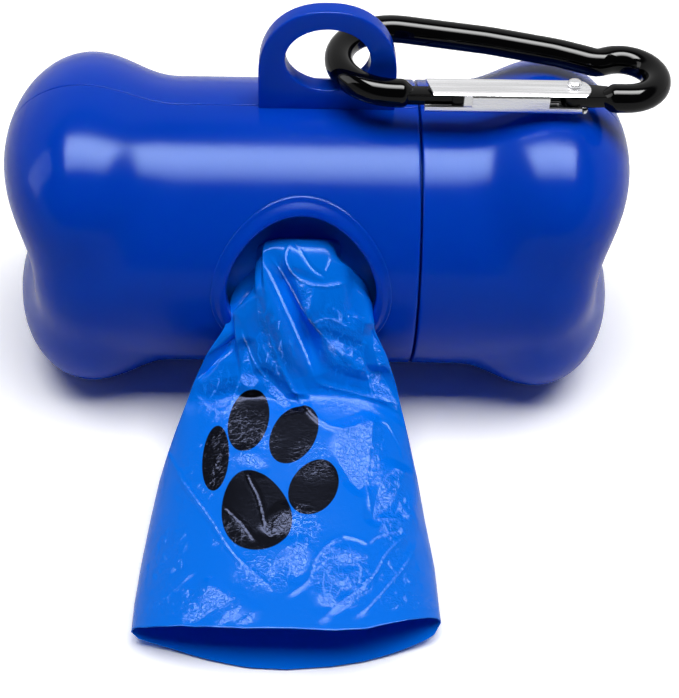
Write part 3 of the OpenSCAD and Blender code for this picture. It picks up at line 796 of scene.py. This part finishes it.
def pawPrint(tree, flat):
    # 1 inside the pads, from the distance to the nearest one
    nearest = None
    for x, s, a, b, turn, taper in film["pads"]:
        local = addNode(tree, "ShaderNodeMapping", {
            "Vector": flat, "Location": (x * mm, s * mm, 0), "Rotation": (0, 0, math.radians(turn)),
            "Scale": (a * mm, b * mm, 1)}, vector_type="TEXTURE")
        apart = addNode(tree, "ShaderNodeSeparateXYZ", {0: local}).outputs
        swell = addNode(tree, "ShaderNodeMath", {0: apart["Y"], 1: -taper, 2: 1.0}, operation="MULTIPLY_ADD")
        wide = addNode(tree, "ShaderNodeMath", {0: apart["X"], 1: swell}, operation="MULTIPLY")
        egg = addNode(tree, "ShaderNodeCombineXYZ", {"X": wide, "Y": apart["Y"]})
        reach = addNode(tree, "ShaderNodeVectorMath", {0: egg}, operation="LENGTH")
        if nearest is not None:
            reach = addNode(tree, "ShaderNodeMath", {0: nearest, 1: reach}, operation="MINIMUM")
        nearest = reach
    return addNode(tree, "ShaderNodeMapRange", {"Value": nearest, "From Min": 1.0, "From Max": 0.975})


def bagFilm():
    # blown HDPE film with a soft shine: azure, crackled where it was crushed, with a glossy black paw print
    material, tree = newMaterial("azure_hdpe_film")
    flat = addNode(tree, "ShaderNodeUVMap", uv_map="laid_flat")
    crushed, turned, crumpled = (
        addNode(tree, "ShaderNodeAttribute", attribute_name=name).outputs["Fac"]
        for name in ("crushed", "turned", "crumpled"))
    # facets shine in patches, and crease lines stay whole
    streaks = addNode(tree, "ShaderNodeTexNoise", {"Vector": flat, "Scale": 330, "Detail": 5, "Roughness": 0.65})
    uneven = addNode(tree, "ShaderNodeMapRange", {
        "Value": streaks, "From Min": 0.4, "From Max": 0.6, "To Min": 0.12, "To Max": 1.0})
    patchy = addNode(tree, "ShaderNodeMix", {"Factor": crushed, "A": 1.0, "B": uneven}, data_type="FLOAT")
    shine = addNode(tree, "ShaderNodeMath", {0: turned, 1: patchy}, operation="MULTIPLY")
    # scattered glints about 0.3 mm wide and a few times as long, where the film is lightly crumpled
    drawn = addNode(tree, "ShaderNodeMapping", {"Vector": flat, "Rotation": (0, 0, 0.6), "Scale": (1500, 520, 1)})
    specks = addNode(tree, "ShaderNodeTexNoise", {"Vector": drawn, "Scale": 1, "Detail": 3, "Distortion": 0.8})
    glints = addNode(tree, "ShaderNodeMapRange", {"Value": specks, "From Min": 0.53, "From Max": 0.66})
    glints = addNode(tree, "ShaderNodeMath", {0: glints, 1: crumpled}, operation="MULTIPLY")
    shine = addNode(tree, "ShaderNodeMath", {0: shine, 1: glints}, operation="MAXIMUM")
    # flat cells of about 0.6 mm between sharp little creases, and a fine unevenness over them
    warp = addNode(tree, "ShaderNodeTexNoise", {"Vector": flat, "Scale": 900, "Detail": 1})
    bent = addNode(tree, "ShaderNodeVectorMath", {0: warp.outputs["Color"], 1: (0.0009, 0.0009, 0), 2: flat},
                   operation="MULTIPLY_ADD")
    cells = addNode(tree, "ShaderNodeTexVoronoi", {"Vector": bent, "Scale": film["cells"]},
                    feature="DISTANCE_TO_EDGE")
    ridge = addNode(tree, "ShaderNodeMapRange", {
        "Value": cells.outputs["Distance"], "From Max": 0.14, "To Min": 0.2, "To Max": 0})
    fine = addNode(tree, "ShaderNodeTexNoise", {"Vector": bent, "Scale": film["cells"] * 0.9, "Detail": 2})
    rough = addNode(tree, "ShaderNodeMath", {0: ridge, 1: fine}, operation="ADD")
    share = addNode(tree, "ShaderNodeMath", {0: crushed, 1: crumpled}, operation="MAXIMUM")
    amount = addNode(tree, "ShaderNodeMapRange", {"Value": share, "To Min": film["calm"], "To Max": 1})
    height = addNode(tree, "ShaderNodeMath", {0: rough, 1: amount}, operation="MULTIPLY")
    # where the film is crushed its small faces lean back towards the sky
    facing = addNode(tree, "ShaderNodeNewGeometry").outputs["Normal"]
    leaned = addNode(tree, "ShaderNodeMix", {"Factor": shine, "A": facing, "B": film["lean"]}, data_type="VECTOR")
    unit = addNode(tree, "ShaderNodeVectorMath", {0: leaned}, operation="NORMALIZE")
    bump = addNode(tree, "ShaderNodeBump", {
        "Height": height, "Strength": 1, "Distance": film["crackleHeight"], "Normal": unit})
    tint = addNode(tree, "ShaderNodeMix", {
        "Factor": pawPrint(tree, flat), "A": hexColour(film["colour"]), "B": hexColour(film["ink"])},
        data_type="RGBA")
    shader = addNode(tree, "ShaderNodeBsdfPrincipled", {
        "Base Color": tint, "Roughness": film["roughness"], "Normal": bump, "IOR": 1.25,
        "Specular Tint": (0.52, 0.6, 1, 1)})
    finishSurface(tree, shader)
    return material


filmMaterial = bagFilm()

bag = {
    # distance in front, left, right, height of the side folds, crown, underside, fullness
    "stations": [
        (-12.8, -8.6, 5.2, 3.0, 7.8, 1.2, 4.5), (-14.6, -10.2, 6.4, 1.6, 9.0, -0.4, 4.2),
        (-16.0, -11.2, 7.2, 0.8, 8.8, -2.0, 3.6), (-17.5, -11.5, 7.4, 0.5, 7.5, -3.1, 3.2),
        (-19.4, -11.7, 7.6, 0.0, 5.1, -4.4, 2.8), (-21.1, -12.2, 7.9, -1.2, 2.3, -5.8, 2.6),
        (-22.8, -14.6, 9.7, -4.4, -1.9, -9.2, 2.6), (-24.4, -16.4, 11.1, -8.4, -6.4, -12.4, 2.6),
        (-25.7, -17.4, 11.8, -11.0, -9.1, -14.4, 2.8), (-28, -18.7, 12.7, -13.6, -9.5, -16.9, 2.9),
        (-30.5, -19.8, 13.5, -16.0, -9.95, -19.1, 2.9), (-34, -20.9, 14.3, -18.2, -10.58, -20.8, 2.8),
        (-39, -21.7, 15.05, -19.7, -11.4, -21.9, 2.8), (-46, -22.4, 15.95, -20.2, -12.4, -22.1, 2.9),
        (-53, -22.7, 16.1, -19.9, -13.1, -22.15, 3.1), (-59.5, -22.7, 16.2, -19.6, -13.5, -22.15, 3.4)],
    "rows": 250, "across": 165, "beneath": 33, "smoothing": 14, "thickness": 0.14, "lift": 0.02,
    "mouthRun": 14, "flatWidth": 39, "gather": 0.28, "foldPower": 0.6, "sideFade": 0.03,
    # how far the mouth's edges lie behind the end: place across, upper edge, lower edge
    "mouth": [
        (-1, 2.9, 2.9), (-0.97, 2.5, 2.5), (-0.9, 1.6, 2.4), (-0.75, 0.7, 1.9), (-0.5, 0, 0.6), (-0.25, -0.4, -0.4),
        (0, -0.4, -0.6), (0.3, -0.6, -0.1), (0.5, -0.1, 0.6), (0.7, 1.5, 1.7), (0.85, 2.9, 2.7), (0.95, 4.1, 3.4),
        (1, 4.8, 4.8)],
    # folds and creases: height, half width, then places across and down the bag
    "softFolds": [
        (1.1, 1.8, [(-8.7, 0.5), (-7.2, 9.1), (-5.7, 13.6), (-3.9, 18.0), (-2.3, 21.8)]),
        (-2.2, 1.2, [(-6.5, 3.6), (-4.6, 7.9), (-2.6, 12.1), (-0.8, 16.6), (0.8, 21.2)]),
        (0.35, 0.9, [(13.2, 29.2), (13.3, 31.8), (13.4, 35.8), (12.5, 42.4)]),
        (-0.8, 1.3, [(5.6, 3.0), (5.6, 7.6), (5.1, 14.1)]),
        (-3.2, 1.5, [(3.5, 0.0), (4.6, 2.9), (4.8, 4.9)]),
        (-0.7, 0.45, [(-11.3, 16.2), (-13.3, 18.7), (-15.8, 21.4)]),
        (0.7, 1.2, [(6.5, 5.5), (6.6, 10.1), (6.7, 14.4)]),
        (0.5, 1.6, [(-14.8, 23.9), (-12.5, 22.6), (-11.2, 17.3)]),
    ],
    "creases": [
        (0.55, 1.3, [(-6.2, 4.2), (-4.3, 7.5), (-1.2, 13.0), (1.9, 16.7), (6.8, 20.2)]),
        (0.14, 0.35, [(-7.1, 4.8), (-4.7, 10.3), (-2.3, 15.9), (0.1, 21.9)]),
        (0.16, 0.4, [(-2.9, 1.8), (-1.2, 2.3), (0.5, 2.3)]),
        (0.32, 0.6, [(-3.2, 2.1), (-4.3, 4.7), (-3.5, 6.7), (-2.3, 7.7), (-0.4, 8.5), (1.8, 8.4), (4.2, 7.3)]),
        (-0.2, 0.6, [(-3.2, 2.1), (-1.7, 4.9), (-0.5, 6.6), (1.2, 7.4)]),
        (0.12, 0.4, [(1.1, 6.6), (1.8, 4.7)]),
        (0.16, 0.5, [(-0.8, 14.0), (1.3, 12.7), (3.0, 13.1), (4.4, 13.9)]),
        (0.1, 0.5, [(-16.4, 22.8), (-15.4, 24.5), (-13.8, 26.1), (-12.3, 26.9), (-11.4, 26.3), (-10.4, 22.9),
            (-9.9, 21.1)]),
        (0.15, 0.4, [(-11.5, 12.1), (-13.1, 16.5), (-16.3, 20.8), (-16.7, 22.1)]),
        (0.25, 0.6, [(-11.0, 17.8), (-12.3, 18.5), (-14.2, 19.8), (-16.3, 21.4)]),
        (0.18, 0.45, [(-10.0, 13.9), (-9.1, 17.3), (-7.8, 20.3), (-5.6, 23.2), (-3.3, 26.0)]),
        (0.3, 0.9, [(0.0, 21.9), (0.8, 22.6), (3.3, 23.2), (5.6, 23.7), (7.8, 24.1), (9.7, 24.5), (12.0, 25.2)]),
        (0.15, 0.5, [(6.9, 19.9), (7.5, 21.9), (7.8, 23.9)]),
        (0.35, 0.7, [(-7.7, 10.1), (-6.2, 15.2), (-4.6, 19.8), (-3.3, 22.8), (-1.5, 25.6), (0.1, 27.9),
            (1.9, 29.1), (3.6, 29.6), (5.4, 28.9), (7.2, 27.7)]),
        (0.25, 0.6, [(7.8, 27.9), (7.4, 31.8), (6.9, 36.5), (6.9, 37.8), (7.5, 42.2)]),
        (0.14, 0.4, [(8.5, 27.3), (9.9, 27.3), (10.9, 28.8), (11.6, 30.1), (11.8, 31.6)]),
        (0.18, 0.45, [(7.8, 42.4), (10.4, 41.3), (12.2, 42.0)]),
        (0.18, 0.45, [(12.1, 42.8), (8.4, 44.5), (7.0, 46.2)]),
        (0.45, 1.2, [(12.2, 43.0), (9.1, 47.1), (7.9, 50.2), (6.1, 52.8), (4.0, 54.2), (1.0, 57.0), (0.6, 57.6)]),
        (0.3, 1.0, [(13.4, 43.1), (12.0, 47.6), (10.2, 50.9), (6.9, 55.5), (4.6, 57.0)]),
        (0.22, 0.6, [(3.5, 45.4), (1.8, 46.8), (0.2, 48.9), (-0.3, 51.3), (-0.8, 52.3), (-2.4, 53.6), (-3.5, 54.3)]),
        (0.2, 0.5, [(3.5, 45.4), (5.5, 45.7), (6.9, 46.3)]),
        (0.32, 0.8, [(-18.4, 33.4), (-16.0, 38.3), (-13.4, 42.4), (-10.3, 48.2), (-7.3, 51.2), (-4.6, 53.6)]),
        (0.16, 0.5, [(-18.4, 54.1), (-16.6, 52.1), (-14.7, 50.3)]),
        (0.15, 0.4, [(-19.8, 29.3), (-18.5, 32.6), (-17.2, 35.5)]),
        (0.3, 0.6, [(-8.9, 35.8), (-8.1, 38.1), (-7.0, 40.2), (-6.0, 45.2)]),
        (0.2, 0.5, [(-11.9, 40.9), (-9.2, 43.8), (-7.5, 46.5)]),
        (0.2, 0.5, [(-3.9, 43.1), (-4.8, 44.1), (-5.7, 45.2)]),
    ],
    "overlaps": [
        (2.0, 0.5, [(-11.4, 5.5), (-11.3, 11.8), (-10.9, 15.7), (-10.3, 19.3), (-10.0, 21.2)]),
        (1.7, 0.6, [(-7.0, 0.8), (-7.3, 3.3), (-7.3, 5.5), (-6.7, 9.7)]),
        (1.8, 0.6, [(-8.7, 2.1), (-9.3, 3.4), (-8.7, 6.6), (-7.9, 9.5)]),
    ],
    # where the film glints: place across and down the bag, half width and length, amount
    "crumples": [
        (6.8, 32.5, 3.6, 7, 0.8), (10.5, 40, 3.4, 8, 0.75), (3.5, 51, 5, 5.5, 0.9), (11, 49, 4, 6, 0.5),
        (12, 54.5, 5, 2.5, 0.7), (-15.5, 55, 7.5, 3.4, 0.7), (-18.5, 47, 3.4, 8, 0.7), (-15, 35, 4, 8, 0.5),
        (-6, 50.5, 5, 4, 0.6), (-5.5, 17, 3.4, 8, 0.8), (3.5, 15.5, 4.5, 7, 0.8), (4, 24.5, 7, 3, 0.4),
        (-13, 24, 4, 5, 0.7), (-2, 44.5, 3.5, 4.5, 0.6), (-10, 31, 6, 6, 0.35), (-11, 45, 4, 3, 0.35),
        (0, 34, 4, 4, 0.3)],
    # shares of a fold's length over which it runs out at its start and its end
    "fades": {"softFolds": (0.25, 0.25), "creases": (0.12, 0.12), "overlaps": (0.1, 0.45)},
    "overlapRun": (2, 4),  # how far an overlap's drop goes on flat, and then runs out
    "creaseRise": 0.6, "creaseWidth": 0.7, "rimShine": 0.6, "rimWidth": 0.22,
    # a crease's shine: half width, its least down the bag, as steep film needs more, and how it comes and goes
    "shineWidth": 0.15, "leastShine": ([17, 25], [0.75, 0.35]), "brokenShine": 0.45, "shineBeat": 29, "shineShift": 7,
    # facets tilt towards the slope in degrees that mirrors the softbox, which falls down the bag
    "facetSlope": 27, "slopeFall": 0.18, "facetTilt": (-0.2, 0.12), "facetHalf": 3.5, "facetShine": 0.8,
    "facetRims": (1.6, 0.25, 0.2),  # how far round a facet its tilt, its crackle and its shine run out
    "facets": [
        [(-2.8, 7.7), (-0.4, 8.7), (-1.2, 13.0)],
        [(-7.7, 10.1), (-6.2, 15.2), (-4.6, 19.8), (-3.2, 22.5), (-1.9, 25.4), (-3.0, 23.6), (-4.3, 20.8),
            (-6.2, 18.8), (-7.1, 17.1), (-7.6, 13.6)],
        [(-7.2, 21.9), (-5.8, 22.8), (-3.3, 25.6), (-4.1, 25.9), (-6.3, 23.7)],
        [(-9.3, 17.2), (-8.5, 21.2), (-7.6, 22.4), (-8.5, 23.3), (-9.6, 22.6), (-10.0, 22.1), (-9.7, 19.7)],
        [(-11.9, 12.3), (-11.1, 14.5), (-12.8, 16.2), (-13.5, 16.5)],
        [(3.6, 29.6), (5.4, 28.9), (7.2, 27.7), (7.8, 27.9), (7.4, 31.8), (7.0, 36.5), (6.0, 37.8), (5.0, 36.9),
            (3.0, 33.3), (3.1, 31.1)],
        [(0.9, 15.8), (3.4, 16.5), (5.9, 17.3), (6.3, 18.6), (6.8, 20.2), (4.7, 19.7), (3.1, 19.1), (1.9, 17.6)],
        [(7.6, 20.6), (8.8, 20.2), (10.5, 23.2), (12.0, 25.2), (10.0, 24.7), (8.3, 23.8), (7.7, 22.1)],
        [(8.0, 13.2), (8.8, 14.3), (9.3, 18.1), (8.5, 18.9), (7.9, 16.6)],
        [(10.6, 33.7), (11.9, 33.6), (11.2, 36.3), (10.1, 38.9), (7.8, 42.0), (8.2, 39.6), (8.9, 36.5)],
        [(-2.9, 47.4), (-1.8, 47.0), (-1.0, 48.5), (-1.5, 50.6), (-2.2, 51.1), (-2.7, 49.4)],
        [(2.9, 48.5), (4.8, 47.8), (5.8, 48.4), (3.9, 49.1)],
        [(2.8, 51.7), (4.5, 52.5), (6.0, 52.9), (4.4, 53.2), (3.0, 52.5)],
        [(1.0, 53.8), (2.6, 54.0), (3.9, 54.8), (2.5, 55.3), (1.0, 54.9)],
        [(-12.9, 52.8), (-11.2, 53.7), (-9.7, 54.4), (-12.2, 55.8), (-14.5, 57.6), (-13.7, 55.2)],
        [(-9.0, 55.5), (-9.9, 56.9), (-11.5, 57.9), (-10.7, 56.3)],
        [(-7.5, 56.4), (-9.2, 57.7), (-7.7, 57.3)],
        [(-9.3, 33.5), (-8.2, 34.1), (-7.3, 35.4), (-8.5, 34.7)],
        [(-3.9, 42.2), (-3.0, 43.3), (-3.8, 44.8), (-5.6, 45.4), (-6.1, 44.8)],
    ],
}


def bagStations():
    # the sections as even rows down the crown, with the distance passed on it
    table = np.array(bag["stations"])
    run = travelled(table[:, [0, 4]])
    down = np.linspace(0, run[-1], bag["rows"])
    fine = np.stack([np.interp(down, run, column) for column in table.T], -1)
    return down, smoothed(fine, bag["smoothing"])


def bagLayer(fine, down, across, upper):
    # one layer of the flattened tube, from fold to fold
    y, left, right, side, crown, under, full = (fine[:, i, None] for i in range(7))
    x = (left + right) / 2 + (right - left) / 2 * across
    rise = np.clip(1 - np.abs(across) ** full, 0, 1) ** bag["foldPower"]
    z = side + ((crown if upper else under) - side) * rise
    share = np.clip((down - (down[-1] - bag["mouthRun"])) / bag["mouthRun"], 0, 1)[:, None] ** 2
    edge = np.array(bag["mouth"])
    return np.stack([x, y + np.interp(across, edge[:, 0], edge[:, 1 if upper else 2]) * share, z], -1)


def acrossSteps(count):
    # closer together towards both folds
    k = np.linspace(-1, 1, count)
    return (1 - bag["gather"]) * k + bag["gather"] * np.sin(math.pi / 2 * k)


def roundedLine(points):
    line = np.array(points, float)
    for _ in range(2):
        cut = np.empty((2 * len(line) - 2, 2))
        cut[0::2], cut[1::2] = line[:-1] * 0.75 + line[1:] * 0.25, line[:-1] * 0.25 + line[1:] * 0.75
        line = np.vstack([line[:1], cut, line[-1:]])
    return line


def fromLine(x, s, line):
    # distance to a line, which side of it, and the share of its length passed
    best, side, share = np.full(x.shape, 1e9), np.zeros(x.shape), np.zeros(x.shape)
    lengths, passed = np.hypot(*np.diff(line, axis=0).T), travelled(line)
    for k in range(len(line) - 1):
        ax, ay = line[k]
        bx, by = line[k + 1] - line[k]
        t = np.clip(((x - ax) * bx + (s - ay) * by) / max(lengths[k] ** 2, 1e-9), 0, 1)
        dx, dy = x - ax - t * bx, s - ay - t * by
        d = np.hypot(dx, dy)
        near = d < best
        best = np.where(near, d, best)
        side = np.where(near, np.sign(bx * dy - by * dx), side)
        share = np.where(near, (passed[k] + t * lengths[k]) / passed[-1], share)
    return best, side, share


def alongFold(x, s, points, fadeIn, fadeOut):
    # distance, side and share for a rounded line, and its fade over shares of its length at both ends
    d, side, share = fromLine(x, s, roundedLine(points))
    return d, side, share, np.clip(np.minimum(share / fadeIn, (1 - share) / fadeOut), 0, 1)


def insideFacet(x, s, corners):
    inside = np.zeros(x.shape, bool)
    for (x0, s0), (x1, s1) in zip(corners, corners[1:] + corners[:1]):
        if s0 != s1:
            crosses = (s0 > s) != (s1 > s)
            inside ^= crosses & (x < x0 + (s - s0) / (s1 - s0) * (x1 - x0))
    return inside


def bagRelief(x, s, slope):
    # heights over the smooth bag, where the film is crushed, where it leans back to the sky, and where it glints
    height, crushed, turned, crumpled = (np.zeros(x.shape) for _ in range(4))
    for middleX, middleS, wide, long, amount in bag["crumples"]:
        away = np.hypot((x - middleX) / wide, (s - middleS) / long)
        crumpled = np.maximum(crumpled, amount * np.clip(2 * (1 - away), 0, 1))
    for rise, width, points in bag["softFolds"]:
        d, _, _, fade = alongFold(x, s, points, *bag["fades"]["softFolds"])
        height += rise * fade * np.exp(-(d / width) ** 2)
    for rise, width, points in bag["creases"]:
        d, _, share, fade = alongFold(x, s, points, *bag["fades"]["creases"])
        height += bag["creaseRise"] * rise * fade * np.clip(1 - d / (width * bag["creaseWidth"]), 0, 1)
        broken = 0.5 + 0.5 * np.sin(share * len(points) * bag["shineBeat"] + bag["shineShift"] * rise)
        shine = np.minimum(np.interp(s, *bag["leastShine"]) + bag["brokenShine"] * broken, 1)
        turned = np.maximum(turned, shine * fade * np.clip(1.5 - d / bag["shineWidth"], 0, 1))
    for drop, width, points in bag["overlaps"]:
        d, side, _, fade = alongFold(x, s, points, *bag["fades"]["overlaps"])
        over = np.clip(side * d / width + 0.5, 0, 1)
        flat, run = bag["overlapRun"]
        height -= drop * fade * over * over * (3 - 2 * over) * np.exp(-(np.maximum(d - flat, 0) / run) ** 2)
    for corners in bag["facets"]:
        place = np.array(corners)
        middle = place.mean(0)
        d, _, _ = fromLine(x, s, np.vstack([place, place[:1]]))
        away = np.where(insideFacet(x, s, corners), 0, d)
        need = math.radians(bag["facetSlope"] - bag["slopeFall"] * middle[1]) - slope
        fall = np.clip(s - middle[1], -bag["facetHalf"], bag["facetHalf"])
        tilt = np.tan(np.clip(need, *bag["facetTilt"]))
        tiltRim, crushedRim, shineRim = (np.clip(1 - away / rim, 0, 1) for rim in bag["facetRims"])
        height -= tilt * fall * tiltRim
        crushed = np.maximum(crushed, crushedRim)
        turned = np.maximum(turned, bag["facetShine"] * shineRim)
    return height, crushed, turned, crumpled


def addBag():
    down, fine = bagStations()
    wide, narrow = acrossSteps(bag["across"]), acrossSteps(bag["beneath"])[::-1][1:-1]
    upper, lower = bagLayer(fine, down, wide, True), bagLayer(fine, down, narrow, False)
    skin = np.concatenate([upper, lower], 1)
    rows, columns = skin.shape[:2]
    count = rows * columns
    normal = np.cross(np.gradient(skin, axis=0), np.roll(skin, -1, 1) - np.roll(skin, 1, 1))
    normal /= np.linalg.norm(normal, axis=-1, keepdims=True)
    normal *= np.sign(normal[rows // 2, bag["across"] // 2, 2])
    x = skin[..., 0]
    s = np.broadcast_to(down[:, None], x.shape)
    drop = np.gradient(fine[:, 4]) / np.gradient(fine[:, 0])
    slope = np.broadcast_to(np.arctan(np.abs(drop))[:, None], x.shape)
    height, crushed, turned, crumpled = bagRelief(x, s, slope)
    turned = np.maximum(turned, np.clip(1 - (down[-1] - s) / bag["rimWidth"], 0, 1) * bag["rimShine"])
    top = np.zeros(columns)
    top[:bag["across"]] = np.clip((1 - np.abs(wide)) / bag["sideFade"], 0, 1)  # the upper layer alone
    outer = skin + normal * (height * top)[..., None]
    inner = outer - normal * bag["thickness"]
    for points in (outer, inner):
        points[..., 2] = np.maximum(points[..., 2], housing["ground"] + bag["lift"])
    faces = gridFaces(rows, columns, closed=True)
    k = np.arange(columns)
    after = (k + 1) % columns
    last = count - columns
    ends = [np.stack([k + count, after + count, after, k], -1),
            np.stack([k, after, after + count, k + count], -1) + last]
    points = np.vstack([outer.reshape(-1, 3), inner.reshape(-1, 3)])
    mesh = closedMesh("bag_sheet", points, np.vstack([faces, faces[:, ::-1] + count, *ends]))

    # the flattened film in metres: the upper layer first, then the lower one beyond the right fold
    flatX = np.concatenate([upper[..., 0], 2 * upper[:, -1:, 0] - lower[..., 0]], 1).reshape(-1)
    flat = np.stack([flatX, s.reshape(-1)], -1) * mm
    corner = np.empty(len(mesh.loops), np.int32)
    mesh.loops.foreach_get("vertex_index", corner)
    corner %= count
    uv = flat[corner]
    column = (corner % columns).reshape(-1, 4)
    wraps = np.repeat((column.max(1) - column.min(1)) > columns // 2, 4)
    uv[wraps & (corner % columns == 0), 0] += 2 * bag["flatWidth"] * mm
    mesh.uv_layers.new(name="laid_flat").data.foreach_set("uv", uv.reshape(-1).astype(np.float32))
    for name, field in (("crushed", crushed), ("turned", turned), ("crumpled", crumpled)):
        both = np.concatenate([(field * top).reshape(-1), np.zeros(count)]).astype(np.float32)
        mesh.attributes.new(name, "FLOAT", "POINT").data.foreach_set("value", both)
    piece = placePiece("bag_sheet", mesh, filmMaterial, "bag", 70, "pulled_bag")
    print("bag", len(points), "points")


addBag()

roll = {
    "radius": 15.5, "core": 6.55, "length": 57, "middle": -1.4, "steps": 120, "turnsShown": 30,
    # the turns' edges: every second one lies back, each is a little uneven, and the tube's own edges are set back
    "layBack": 0.12, "uneven": 0.15, "coreBack": 0.2, "rimBack": 0.3, "firstTurn": 0.1, "lastTurn": 0.15,
}


def addRoll():
    # the wound bags: a tube whose ends show the edges of the turns
    steps, half = roll["steps"], roll["length"] / 2
    rng = np.random.default_rng(5)
    radii = np.linspace(roll["core"] + roll["firstTurn"], roll["radius"] - roll["lastTurn"], roll["turnsShown"])
    left, right = (
        [(r, side * (half - (roll["layBack"] if k % 2 else 0) - roll["uneven"] * rng.random()))
         for k, r in enumerate(radii)] for side in (-1, 1))
    atCore, atRim = half - roll["coreBack"], half - roll["rimBack"]
    profile = [(roll["core"], -atCore)] + left + [(roll["radius"], -atRim), (roll["radius"], atRim)]
    profile += right[::-1] + [(roll["core"], atCore)]
    angles = [2 * math.pi * k / steps for k in range(steps)]
    points = [(x, r * math.cos(a), roll["middle"] + r * math.sin(a)) for a in angles for r, x in profile]
    mesh = closedMesh("wound_bags", points, ringFaces(steps, len(profile)))
    placePiece("wound_bags", mesh, filmMaterial, "roll", 30, "bag_roll")


addRoll()
print("bags ready")
